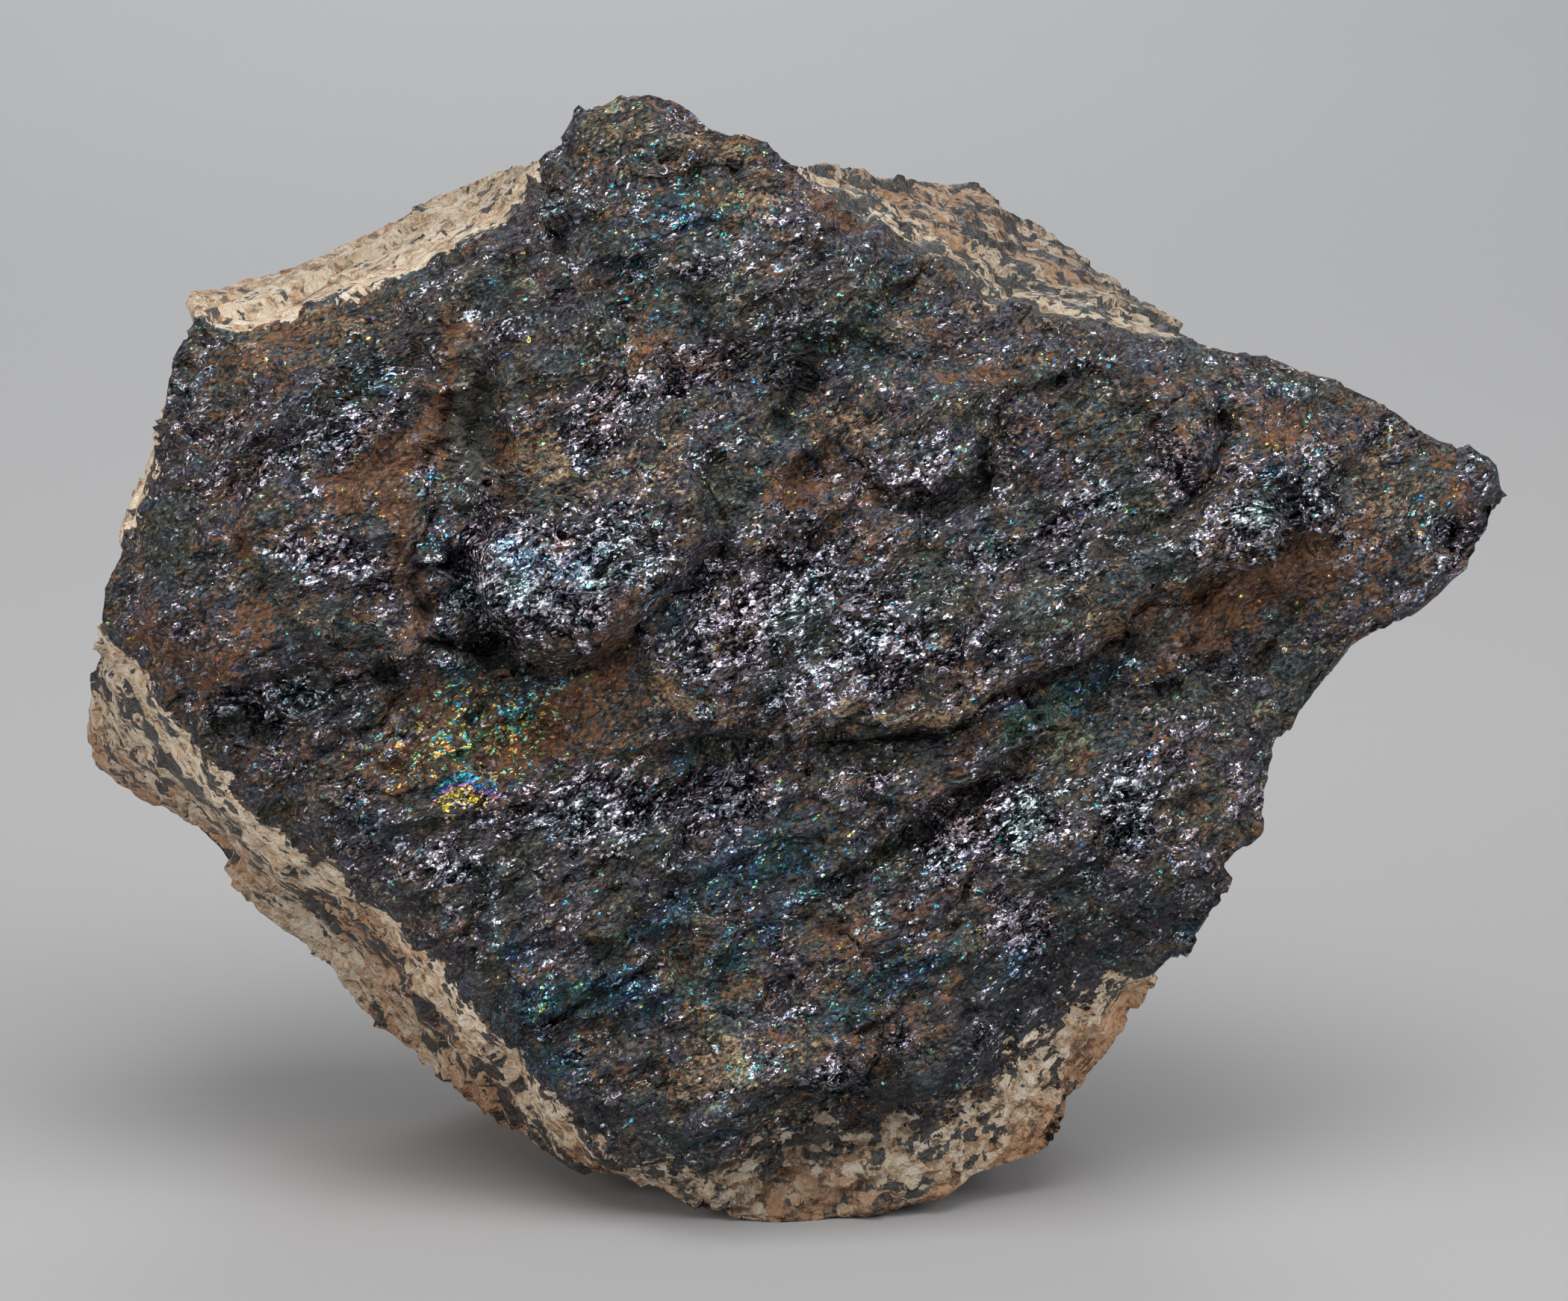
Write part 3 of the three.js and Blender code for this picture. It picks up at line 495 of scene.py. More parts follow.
COAT_PATCHES: dict[Coat, tuple[Oval, ...]] = {
    Coat.RUST: ovals(
        (-28.5, 55.4, 9.8, 4, 10), (-36.5, 51.8, 7.1, 3.2, 0), (-60.5, 65.9, 8, 2.7, 35),
        (-53.6, 99.8, 9.9, 3.2, 10, 0.7), (50.6, 71.3, 13.3, 4.4, 25), (68, 74, 8, 2.6, 40, 0.5),
        (59.5, 89.9, 5.3, 3.0, 20, 0.8), (9.7, 32.2, 4.4, 3.6, 0, 0.8), (-18.8, 63.3, 8, 2, 40),
        (24.8, 97.1, 8, 2.2, 5, 0.7), (37.2, 88.2, 7.1, 3.6, 10, 0.4), (1.7, 83.7, 4.4, 4, 0, 0.6),
        (-69.4, 64.2, 5.3, 2.7, -40), (-41, 58.4, 4.4, 3.6, 0), (-57.9, 76.6, 5.3, 3.1, 0, 0.7),
        (17.7, 24.2, 5.3, 2.2, 20, 0.7), (-14.3, 99.6, 2.6, 2.6, 0, 0.8),
        (1.5, 118.6, 5, 1.6, -35, 0.9), (7.9, 113.9, 4, 1.4, -30, 0.8), (28, 57.6, 6, 2.2, 25, 0.8),
        (78, 84, 3.4, 1.2, -60, 0.8), (-20, 42, 16, 8, -15, -0.5), (31, 72, 12, 6, 25, -0.45),
    ),
    Coat.TAN: ovals(
        (-21.4, 85.9, 8.4, 2.7, -8), (-27.5, 87.6, 3.2, 1.4, 40), (-7.2, 59.9, 7.6, 1.1, -8),
        (8.8, 57.4, 7.8, 1.3, 4), (19.9, 64.9, 4, 1.2, 25), (71.9, 89.1, 1.6, 5.3, -25),
        (-1.4, 115.3, 4.4, 2, 0, 0.8), (-7.2, 121.9, 5.3, 1.2, -10), (-5.4, 17.9, 5.6, 1.6, 30),
        (4.6, 20.9, 3.6, 1.4, 30), (-38.8, 56.6, 4, 3.6, 0, 0.7), (63, 85.5, 6.2, 1.2, 40, 0.7),
        (31, 58.4, 6.2, 1.0, 30), (-16.1, 77.5, 7.1, 1.2, 15, 0.7), (76.4, 76.6, 4.4, 1.2, 30),
        (8.4, 91.1, 3.4, 2.2, 0, 0.8), (-49.9, 85.5, 5.3, 1.8, -20, 0.7), (-55, 102, 8, 1.6, 12, 0.8),
        (-17.5, 96.5, 2.5, 2.5, 0, 0.7), (69, 78.6, 6, 1.2, 35, 0.7),
    ),
    Coat.BLUE: ovals(
        (-45.4, 96.2, 3.2, 2.3, 0), (-40.6, 56.6, 3.0, 1.8, 20, 0.9), (-16.1, 121.9, 4, 1.6, -10),
        (-9.8, 114.8, 4.0, 2.2, -20, 1.3), (-16, 109.5, 2.4, 1.8, 40, 1.0), (14.1, 106.8, 3.2, 1.8, 40),
        (59.5, 95.3, 2.7, 1.8, 0), (-33.4, 62.4, 4.4, 1.6, 10, 1.5), (-34.8, 53.6, 5.4, 1.4, 30, 1.2),
        (-34.8, 49.1, 3.4, 1.1, 0, 1.4), (4.6, 46.6, 8.9, 2.4, 10, 0.8),
        (-22.2, 25.6, 9.9, 2.4, 0, 1.8), (-25.2, 18.6, 3.9, 2.6, -20, 1.8),
        (-2.2, 39.6, 7.9, 2.8, 20, 1.8), (-5.2, 29.6, 7.9, 1.8, 30, 1.4),
        (-14.2, 33.6, 6.0, 1.8, 20, 1.4), (-30, 31, 4.0, 1.6, -30, 1.2), (17.7, 28.6, 6.2, 2.3, 10),
        (31.8, 60.3, 4.7, 1.9, 35, 1.3), (9.6, 24.2, 7.1, 2.1, 15, 1.3), (46.1, 30.8, 8, 2.7, 30, 0.8),
        (-11.6, 69.5, 5.3, 3.1, 40), (-24.6, 74.5, 6.3, 3.1, 10, 0.9), (-11.6, 102.8, 2.3, 2.7, 0),
        (-39.2, 80.2, 1.6, 4.4, 10, 1.2), (-9, 53.5, 4, 2.7, 0), (4.6, 36.6, 5.4, 1.8, 30, 1.2),
        (27.5, 29.5, 5.3, 2.5, 30), (-44.5, 44.6, 5.3, 1.6, -30, 0.8), (23, 76.6, 9.1, 3.6, 20, 0.4),
        (16, 79.6, 3.1, 2.6, 0, 0.5), (12, 97.6, 4.1, 2.2, 0, 0.8), (54, 87, 5, 1.6, -50, 0.8),
        (-3.5, 12.6, 8, 1.4, 10, 0.9),
    ),
    Coat.GLITTER: ovals(
        (-63.2, 91.7, 3.6, 2.5, 0), (-34.8, 62.9, 2.6, 1.1, 0, 1.5), (-40.6, 56.6, 3.4, 2.2, 20, 1.3),
        (-59.6, 85.5, 5.3, 2.7, 0), (-48.1, 90.8, 4.4, 2.7, 0), (-45.5, 96.8, 3.4, 1.6, 20),
        (-25.3, 72.8, 9.5, 5.4, 5, 2.8), (-17.9, 92.6, 7.1, 2.6, 15, 1.2), (-10.8, 97.9, 5.3, 2.6, 0),
        (12.8, 67.4, 11.6, 6.0, 22, 0.75), (53.2, 78.4, 4.4, 3.6, 20, 1.2), (63, 81.1, 4, 4, 40, 1.2),
        (-18.8, 46.4, 10.2, 3.7, 0, 1.2), (-36, 41.4, 6.2, 2.2, -20), (24.7, 44.7, 9.6, 3.6, 25, 1.45),
        (28.7, 33.6, 5.2, 3.2, 10, 1.5), (-56.3, 60.2, 8.6, 1.6, 5, 1.2),
        (5.7, 17.2, 2.7, 1.3, 20, 1.3), (10.6, 49.9, 4, 1.6, 0), (18, 84.4, 5.2, 1.8, 15, 1.1),
        (-34.3, 101.0, 2.2, 5.3, 10), (-9, 107.7, 5.3, 2.0, 10), (1.7, 100.6, 4.4, 2.7, 0),
        (-1.9, 71.3, 8.1, 4.9, 20, 1.2), (-51.6, 75.7, 7.1, 2.0, 0), (41.8, 48.3, 4.4, 6.2, 0),
        (-38.9, 83.6, 1.8, 5.2, -10, 1.2), (44.4, 86.1, 2.6, 4.3, 20), (-4.5, 48.2, 3.2, 3.6, 0),
        (34, 80, 7, 1.6, 25, 0.8), (9, 62.6, 9, 2, 10, 1.0), (56, 48, 3.6, 3, 0, 0.8),
        (77.7, 79.5, 2.5, 2.0, 0, 1.0), (15.5, 108.4, 2.5, 2.0, 0, 0.9),
    ),
    Coat.SPOT: ovals((-33.6, 48.4, 3.2, 1.9, 8)),
    Coat.GOLD: ovals((-34.0, 46.9, 4.4, 1.8, 5)),
    Coat.OLIVE: ovals(
        (20, 91.6, 8, 5, 0, 0.45), (-34.6, 88.2, 1.9, 5.2, 6, 0.75), (-24, 109.6, 3.5, 5, -30, 0.6),
        (43, 66, 8, 3, 28, 0.7), (-14, 20.6, 8, 2.6, 20, 0.7),
    ),
    # Smooth rim band of ore, painted darker in part as the shade of edges that face down.
    Coat.SHADED_SELVAGE: ovals((24, 27, 8, 3.4, 30, 1.0), (-14, 12, 9, 2.0, -8, 1.0)),
    Coat.SAGE: ovals(
        (-28.6, 105.2, 3.0, 2.2, -30), (-2.8, 17.2, 5.0, 1.5, 30, 0.9), (33.5, 55.6, 4.4, 1.4, 30, 0.7),
    ),
    Coat.IRIS: ovals(
        (-36, 56, 9, 4, 15, 3.1), (-28, 58.5, 6, 2.8, 30, 2.3), (-31.6, 62.9, 2.6, 1.0, 30, 2.0),
        (-33.5, 51.5, 5, 2.4, 0, 1.5), (-9, 117, 10, 5, -10), (-14, 110, 6, 4, 20, 0.8),
        (63, 88, 10, 4, -30, 0.8), (12, 104, 8, 3, 30, 0.9), (-45.5, 95, 5, 2.6, 0),
        (-36.5, 83, 2.4, 5, 0), (-14.5, 99.5, 3, 4, 0), (0, 96, 5, 4, 0, 0.8), (4, 40, 12, 5, 20, 0.9),
        (-20, 27, 9, 3, 5), (-3, 18, 7, 2.4, 30), (15, 28, 10, 3, 20, 0.8), (-8, 52, 6, 3, 20, 0.8),
        (33, 61, 6, 2.4, 30, 0.8), (75, 79, 4, 3, 0, 0.8), (-20, 74, 6, 3, 20, 0.7),
    ),
    # Painted shade: black patches in the gap under the nose, the slot by the peak and three pits.
    Coat.SHADE: ovals(
        (-34, 65.2, 5.6, 0.5, -6, 1.2), (15.5, 111.5, 2.5, 1.4, -20), (-58.8, 57.9, 4, 1.4, 0, 0.7),
        (-48.1, 59.7, 3.2, 1.4, 20, 0.7), (77.7, 78.4, 2.0, 1.4, 20, 0.8),
    ),
}  # fmt: skip

# Coats drawn along lines, in the same way as grooves: half width and amount.
COAT_STREAKS: dict[Coat, tuple[Groove, ...]] = {
    Coat.RUST: (
        groove(
            2.2, 2.2, (-35.9, 105.8), (-35.4, 95.9), (-36.7, 92.6), (-37.9, 89.8), (-41, 86.7),
            (-45, 83.4), (-49.1, 80), taper=0.1,
        ),
        groove(1.2, 1.4, (-31.6, 90.8), (-30.6, 88.8), (-29.7, 84.7), taper=0.3),
        groove(1.6, 1.2, (-40.5, 84.5), (-41.5, 77), (-39.5, 70), (-38.5, 66), taper=0.2),
        groove(1.6, 1.4, (-13.5, 74), (-17.5, 66), (-23, 59.5), (-27, 56), taper=0.15),
        groove(2.4, 1.0, (40, 62), (48, 67), (56, 71), (66, 77), taper=0.15),
    ),
    Coat.OLIVE: (
        groove(2.4, 1.6, (-35.2, 102), (-34.4, 96), (-33.4, 88), (-32.1, 80), (-31, 75), taper=0.15),
    ),
    # Smooth rim bands, lower right and lower left, partly painted shade where the edge faces down.
    Coat.SHADED_SELVAGE: (
        groove(3.4, 1.2, (6, 13.5), (18, 16.5), (27, 23), (36, 29.5), (46, 34), (52, 39), taper=0.1),
        groove(
            1.6, 0.45, (-4, 8.5), (-20, 12), (-30, 23.5), (-44, 38), (-58, 47), (-68, 58), taper=0.1,
        ),
    ),
    Coat.TAN: (
        groove(0.9, 1.2, (-13.5, 61.5), (-8, 59.6), (-3, 58.2), taper=0.2),
        groove(0.9, 1.0, (27, 61), (20, 57.5), (12, 56), taper=0.2),
    ),
    Coat.BLUE: (
        groove(1.3, 1.4, (26, 55), (31, 58.5), (37, 61.5), (42, 65), taper=0.2),
    ),
}  # fmt: skip


# The stone --------------------------------------------------------------------------------------


@dataclass
class Rims:
    """Reaches and heights of the three rims, one value for each direction."""

    face: Array
    face_out: Array
    girth: Array
    girth_out: Array
    back: Array
    wrap: Array


@dataclass
class Stone:
    """The whole stone: one closed surface of ore face, gneiss sides and back.

    Lengths are in millimetres. A row of eight numbers gives one for each eighth of a turn,
    anticlockwise from the right. `first_corner` is in half turns.
    """

    lean_deg: float = 13
    centre: Pair = (1.5, 63.5)
    rest_at: Pair = (0, 28)
    raised: float = 2
    edge_wall: float = 8
    back_keeps: tuple[float, ...] = (0.8, 0.88, 0.87, 0.92, 0.93, 0.91, 0.94, 0.85)
    rim_sharpness: tuple[float, ...] = (4, 6, 6, 8, 10, 16, 9, 8)
    back_planes: tuple[Plane, ...] = (
        Plane(-57, 0.02, 0.08),
        Plane(-60, 0.34, 0.04),
        Plane(-74, -0.05, 0.27),
        Plane(-63, -0.2, 0.02),
        Plane(-38, 0, -0.9),
    )
    pit_edge: float = 0.8
    fabric_deg: float = 27
    fabric_stretch: float = 1.8
    side_share: float = 0.3
    wander: tuple[Roughness, ...] = (
        Roughness(7, 1.6, 21),
        Roughness(2.2, 0.5, 23),
    )
    swelling: tuple[Roughness, ...] = (
        Roughness(14, 1.3, 1),
        Roughness(5, 0.35, 11),
    )
    facets: tuple[Roughness, ...] = (
        Roughness(15, 2.8, 3),
        Roughness(7.5, 1.8, 5),
        Roughness(3.6, 1.35, 13),
        Roughness(1.9, 0.62, 15),
    )
    face_cells: int = 212
    ring_steps: int = 720
    ring_blur: int = 4
    flare_rows: int = 34
    wall_rows: int = 18
    wrap_width: float = 9.0
    back_depth: float = -30.0
    first_corner: float = 1.25
    mottle: tuple[float, ...] = (0.1, 0.1, 0.05, 0.1, 0.1, 0.1, 0.7, 1.0)
    # Painted light and shade on the gneiss: a brightness gain for each side, for how the light falls on it.
    painted_light_gain: tuple[float, ...] = (1.1, 0.7, 0.82, 0.92, 1.2, 1.2, 0.68, 1.2)
    dark_share: tuple[float, ...] = (0.3, 0.46, 0.4, 0.04, 0.18, 0.16, 0.42, 0.24)
    dark_band: tuple[float, ...] = (0, 0, 0, 0, 0.3, 0.4, 0, 0)
    band_at: float = 14.0
    band_width: float = 6.0
    stain: tuple[float, ...] = (0.4, 0.25, 0.4, 0.33, 0.25, 0.36, 1.3, 0.75)
    stain_from: float = 16.0
    paler_near: float = 1.1
    darker_far: float = 0.76
    attributes: dict[str, Array] = field(default_factory=dict)

    def strayed(self, across: Array, up: Array) -> tuple[Array, Array]:
        """Where the drawn forms are read for places on the face, so that they stray a little.

        Args:
            across: places on the face.
            up: places on the face.

        Returns:
            Across and up with smooth noises added.
        """
        moved = [across, up]
        for layer in self.wander:
            cells = np.stack([across / layer.size, up / layer.size, np.zeros(across.shape)], axis=1)
            moved[0] = moved[0] + layer.height * smooth_noise(cells, layer.seed)
            moved[1] = moved[1] + layer.height * smooth_noise(cells, layer.seed + 1)
        return moved[0], moved[1]

    def relief(self, across: Array, up: Array) -> Array:
        """Height of all the forms of the face together.

        Args:
            across: places on the face.
            up: places on the face.

        Returns:
            The sum of the swells, pits, grooves, cracks and ledges.
        """
        across, up = self.strayed(across, up)
        total = sum(form.swell(across, up) for form in SWELLS)
        total = total + sum(form.pit(across, up, self.pit_edge) for form in PITS)
        total = total + sum(form.height(across, up) for form in GROOVES + CRACKS)
        return total + sum(form.height(across, up) for form in LEDGES)

    def crossing(self, angle: Array, line: tuple[Triple, ...]) -> tuple[Array, Array]:
        """Where rays from the centre cross a clockwise line.

        Each stretch is met by the ray at the cross product of its ends over the cross product of
        the ray and the stretch.

        Args:
            angle: direction of each ray.
            line: points of across, up and out.

        Returns:
            The reach of each ray, 0 where it misses, and the line's height there.
        """
        cos, sin = np.cos(angle), np.sin(angle)
        reach = np.zeros(angle.shape)
        out = np.zeros(angle.shape)
        for a, b in zip(line, line[1:]):
            ax, ay = a[0] - self.centre[0], a[1] - self.centre[1]
            dx, dy = b[0] - a[0], b[1] - a[1]
            facing = cos * dy - sin * dx
            facing = np.where(np.abs(facing) < TINY, TINY, facing)
            t = (ax * sin - ay * cos) / facing
            met = (ax * dy - ay * dx) / facing
            hit = (t >= 0) & (t <= 1) & (met > 0) & (reach == 0)
            reach = np.where(hit, met, reach)
            out = np.where(hit, mix(a[2], b[2], t), out)
        return reach, out

    @staticmethod
    def by_direction(values: tuple[float, ...], angle: Array) -> Array:
        """A value given for each part of a turn, blended smoothly round the stone.

        Args:
            values: one value for each equal part, anticlockwise from the right.
            angle: directions.

        Returns:
            The value in each direction.
        """
        table = np.array(values)
        part = (angle / (2 * math.pi) * len(table)) % len(table)
        low = np.floor(part).astype(int) % len(table)
        return mix(table[low], table[(low + 1) % len(table)], fade(part - np.floor(part)))

    def rims(self, angle: Array) -> Rims:
        """Reach and height of the face's rim, the girth and the back's rim in each direction.

        Args:
            angle: directions.

        Returns:
            The rims. The girth is the widest gneiss band, or the face's rim where there is none.
        """
        face, face_out = self.crossing(angle, FACE_RIM)
        girth, girth_out = face, face_out - self.edge_wall
        for band in GNEISS_BANDS:
            reach, out = self.crossing(angle, band)
            wider = reach > girth
            girth = np.where(wider, reach, girth)
            girth_out = np.where(wider, out, girth_out)
        back = girth * self.by_direction(self.back_keeps, angle)
        return Rims(face, face_out, girth, girth_out, back, self.ore_wrap(angle))

    def ore_wrap(self, angle: Array) -> Array:
        """How far the ore runs round the edge: the wrap width where no gneiss flares out.

        A ring of ones and noughts for bare and flaring directions is blurred by a running mean.

        Args:
            angle: directions.

        Returns:
            The width of ore in each direction.
        """
        ring = np.linspace(0, 2 * math.pi, self.ring_steps + 1)
        bare = np.ones(ring.shape)
        for band in GNEISS_BANDS:
            bare = np.where(self.crossing(ring, band)[0] > 0, 0.0, bare)
        blur, width = self.ring_blur, 2 * self.ring_blur + 1
        padded = np.concatenate([bare[-blur - 1 : -1], bare, bare[1 : blur + 1]])
        blurred = np.convolve(padded, np.ones(width) / width, "valid")
        return self.wrap_width * np.interp(angle % (2 * math.pi), ring, blurred)

    def spot(self, angle: Array, reach: Array) -> tuple[Array, Array]:
        """Across and up of a place at a reach from the centre."""
        return self.centre[0] + reach * np.cos(angle), self.centre[1] + reach * np.sin(angle)

    def back_out(self, across: Array, up: Array) -> Array:
        """Height of the back: the nearest of its broken planes."""
        return np.max([plane.out(across, up) for plane in self.back_planes], axis=0)

    @staticmethod
    def square_to_disc(cells: int) -> tuple[Array, Array]:
        """Directions and shares of the reach for a square grid laid on a disc.

        The larger coordinate is the share of the reach, and the smaller over the larger turns the
        direction by up to an eighth of a turn.

        Args:
            cells: cells along each side of the square.

        Returns:
            The angle and the share at each grid point, row by row.
        """
        side = np.linspace(-1, 1, cells + 1)
        a, b = (grid.ravel() for grid in np.meshgrid(side, side))
        wide = a * a > b * b
        share = np.where(wide, a, b)
        safe = np.where(share == 0, 1.0, share)
        eighth = math.pi / 4
        angle = np.where(wide, eighth * b / safe, 2 * eighth - eighth * a / safe)
        return angle + math.pi * (share < 0), np.abs(share)

    def face_points(self) -> Array:
        """Points of the ore face, with the relief on it.

        Each ray from the centre bends down to the rim by a power of the share of its reach.

        Returns:
            Points as rows of across, up and out.
        """
        angle, share = self.square_to_disc(self.face_cells)
        rims = self.rims(angle)
        across, up = self.spot(angle, share * rims.face)
        bend = share ** self.by_direction(self.rim_sharpness, angle)
        self.note(rims.wrap + (1 - share) * rims.face)
        return np.stack([across, up, rims.face_out * bend + self.relief(across, up)], axis=1)

    def back_points(self) -> Array:
        """Points of the back, on its broken planes.

        Returns:
            Points as rows of across, up and out.
        """
        angle, share = self.square_to_disc(self.face_cells // 2)
        across, up = self.spot(angle, share * self.rims(angle).back)
        self.note(np.full(angle.shape, self.back_depth))
        return np.stack([across, up, self.back_out(across, up)], axis=1)

    def side_row(self, stage: float, count: int) -> Array:
        """A row of points round the stone, straight between two of its three rims.

        Args:
            stage: 0 is the face's rim, 1 the girth and 2 the back's rim.
            count: points in the row, anticlockwise from the face patch's lower left corner.

        Returns:
            Points as rows of across, up and out.
        """
        angle = math.pi * (self.first_corner + 2 * np.arange(count) / count)
        rims = self.rims(angle)
        face_spot = self.spot(angle, rims.face)
        rim = np.stack([*face_spot, rims.face_out + self.relief(*face_spot)], axis=1)
        waist = np.stack([*self.spot(angle, rims.girth), rims.girth_out], axis=1)
        back_spot = self.spot(angle, rims.back)
        heel = np.stack([*back_spot, self.back_out(*back_spot)], axis=1)
        flare = np.linalg.norm(waist - rim, axis=1)
        if stage <= 1:
            self.note(rims.wrap - stage * flare)
            return mix(rim, waist, stage)
        wall = np.linalg.norm(heel - waist, axis=1)
        self.note(rims.wrap - flare - (stage - 1) * wall)
        return mix(waist, heel, stage - 1)

    def note(self, ore_depth: Array) -> None:
        """Keeps how far inside the ore the points added last lie, in millimetres."""
        kept = self.attributes.get("ore_depth", np.zeros(0))
        self.attributes["ore_depth"] = np.concatenate([kept, ore_depth])

    @staticmethod
    def patch_faces(first: int, cells: int, outward: bool) -> Array:
        """Corners of a patch's quads.

        Args:
            first: index of the patch's first point.
            cells: cells along each side.
            outward: whether they face out of the slab, or into it.

        Returns:
            Four indices for each quad.
        """
        index = first + np.arange((cells + 1) ** 2).reshape(cells + 1, cells + 1)
        low, high = index[:-1], index[1:]
        quads = np.stack([low[:, :-1], low[:, 1:], high[:, 1:], high[:, :-1]], axis=-1)
        quads = quads.reshape(-1, 4)
        return quads if outward else quads[:, ::-1]

    @staticmethod
    def patch_edge(first: int, cells: int) -> Array:
        """Indices round the edge of a patch, anticlockwise from its lower left corner."""
        index = first + np.arange((cells + 1) ** 2).reshape(cells + 1, cells + 1)
        return np.concatenate([index[0, :-1], index[:-1, -1], index[-1, :0:-1], index[:0:-1, 0]])

    @staticmethod
    def band_faces(upper: Array, lower: Array) -> Array:
        """Corners of the quads between two rows of equal length."""
        return np.stack([upper, lower, np.roll(lower, -1), np.roll(upper, -1)], axis=1)

    @staticmethod
    def halving_faces(upper: Array, lower: Array) -> Array:
        """Triangles between a row and one with half as many points.

        Args:
            upper: indices of the fuller row.
            lower: indices of the other row.

        Returns:
            Three indices for each triangle, three triangles for each lower point.
        """
        before, middle, after = upper[::2], upper[1::2], np.roll(upper[::2], -1)
        following = np.roll(lower, -1)
        return np.concatenate(
            [
                np.stack([before, lower, middle], axis=1),
                np.stack([middle, lower, following], axis=1),
                np.stack([middle, following, after], axis=1),
            ]
        )

    @staticmethod
    def halve_quads(points: Array, quads: Array) -> Array:
        """Two triangles for each quad, cut along its shorter diagonal.

        Args:
            points: all the points.
            quads: four indices for each quad.

        Returns:
            Three indices for each triangle.
        """
        p, q, r, s = quads.T
        first = np.linalg.norm(points[p] - points[r], axis=1)
        second = np.linalg.norm(points[q] - points[s], axis=1)
        cut = (first < second)[:, None]
        upper = np.where(cut, np.stack([p, q, r], 1), np.stack([p, q, s], 1))
        lower = np.where(cut, np.stack([p, r, s], 1), np.stack([q, r, s], 1))
        return np.concatenate([upper, lower])

    def surface(self) -> tuple[Array, Array]:
        """The closed surface, before it is roughened.

        The face patch is followed by rows of side points, one row that halves their number, more
        rows, and the back patch.

        Returns:
            Points in millimetres on the slab, and triangles.
        """
        rows = [self.face_points()]
        quads = [self.patch_faces(0, self.face_cells, outward=True)]
        row = self.patch_edge(0, self.face_cells)
        filled = len(rows[0])
        stages = [step / self.flare_rows for step in range(1, self.flare_rows + 1)]
        stages += [1 + step / self.wall_rows for step in range(1, self.wall_rows)]
        halving = np.zeros((0, 3), int)
        for stage in stages:
            halve = stage > 1 and len(row) == 4 * self.face_cells
            count = len(row) // 2 if halve else len(row)
            following = filled + np.arange(count)
            rows.append(self.side_row(stage, count))
            if halve:
                halving = self.halving_faces(row, following)
            else:
                quads.append(self.band_faces(row, following))
            row, filled = following, filled + count
        back_cells = self.face_cells // 2
        rows.append(self.back_points())
        quads.append(self.band_faces(row, self.patch_edge(filled, back_cells)))
        quads.append(self.patch_faces(filled, back_cells, outward=False))
        points = np.concatenate(rows)
        triangles = self.halve_quads(points, np.concatenate(quads))
        return points, np.concatenate([triangles, halving])

    @staticmethod
    def normals(points: Array, triangles: Array) -> Array:
        """Unit normals at the points: the sum of their triangles' cross products.

        Args:
            points: all the points.
            triangles: three indices for each triangle.

        Returns:
            One normal for each point.
        """
        a, b, c = (points[triangles[:, corner]] for corner in range(3))
        across = np.cross(b - a, c - a)
        total = np.zeros_like(points)
        for corner in range(3):
            for axis in range(3):
                total[:, axis] += np.bincount(
                    triangles[:, corner], across[:, axis], minlength=len(points)
                )
        return total / np.maximum(np.linalg.norm(total, axis=1, keepdims=True), TINY)

    def along_fabric(self, points: Array) -> Array:
        """Points turned to the rock's fabric and shortened along it.

        Args:
            points: points of the slab.

        Returns:
            Rows of along, over and out.
        """
        turn = math.radians(self.fabric_deg)
        across, up, out = points.T
        along = (across * math.cos(turn) + up * math.sin(turn)) / self.fabric_stretch
        over = up * math.cos(turn) - across * math.sin(turn)
        return np.stack([along, over, out], axis=1)

    def roughen(self, points: Array, triangles: Array) -> Array:
        """Pushes each point along the surface's normal by the sum of the roughness layers.

        Args:
            points: points of the smooth surface.
            triangles: three indices for each triangle.

        Returns:
            The points of the rough surface. The sides keep a share of the roughness.
        """
        normals = self.normals(points, triangles)
        fabric = self.along_fabric(points)
        height = np.zeros(len(points))
        for layer in self.swelling:
            height += layer.height * smooth_noise(fabric / layer.size, layer.seed)
        for layer in self.facets:
            height += layer.height * facet_noise(fabric / layer.size, layer.seed)
        share = mix(self.side_share, 1.0, np.abs(normals[:, 2]))
        return points + normals * (share * height)[:, None]

    def lean_back(self, points: Array) -> Array:
        """From across, up and out to the standing stone in metres, flat where it rests.

        Args:
            points: points of the slab in millimetres.

        Returns:
            X, Y and Z: up and out turned by the lean, moved to the rest point and held above 0.
        """
        lean = math.radians(self.lean_deg)
        across, up, out = points.T
        x = across - self.rest_at[0]
        y = up * math.sin(lean) - out * math.cos(lean) - self.rest_at[1]
        z = np.maximum(up * math.cos(lean) + out * math.sin(lean) + self.raised, 0)
        return np.stack([x, y, z], axis=1) * MM

    def coat(self, points: Array) -> None:
        """Keeps what lies at each point.

        Each coat is the sum of its patches as bells, and the cracks add painted shade along their
        lines. The gneiss's traits are given by direction from the centre and blended round the stone.

        Args:
            points: points of the slab in millimetres.
        """
        across, up, _out = points.T
        angle = np.arctan2(up - self.centre[1], across - self.centre[0])
        across, up = self.strayed(across, up)
        for coat, patches in COAT_PATCHES.items():
            self.attributes[coat.value] = sum(patch.swell(across, up) for patch in patches)
        for coat, streaks in COAT_STREAKS.items():
            self.attributes[coat.value] += sum(s.depth * s.share(across, up) for s in streaks)
        # Painted shade: each crack darkens the shade coat along its line, more for a deeper crack.
        deepest = max(crack.depth for crack in CRACKS)
        for crack in CRACKS:
            darkness = math.sqrt(crack.depth / deepest)
            self.attributes[Coat.SHADE.value] += darkness * crack.share(across, up)
        self.attributes["mottle"] = self.by_direction(self.mottle, angle)
        beyond = (-self.attributes["ore_depth"] - self.band_at) / self.band_width
        band = np.exp(-(beyond**2)) * self.by_direction(self.dark_band, angle)
        self.attributes["dark_share"] = self.by_direction(self.dark_share, angle) + band
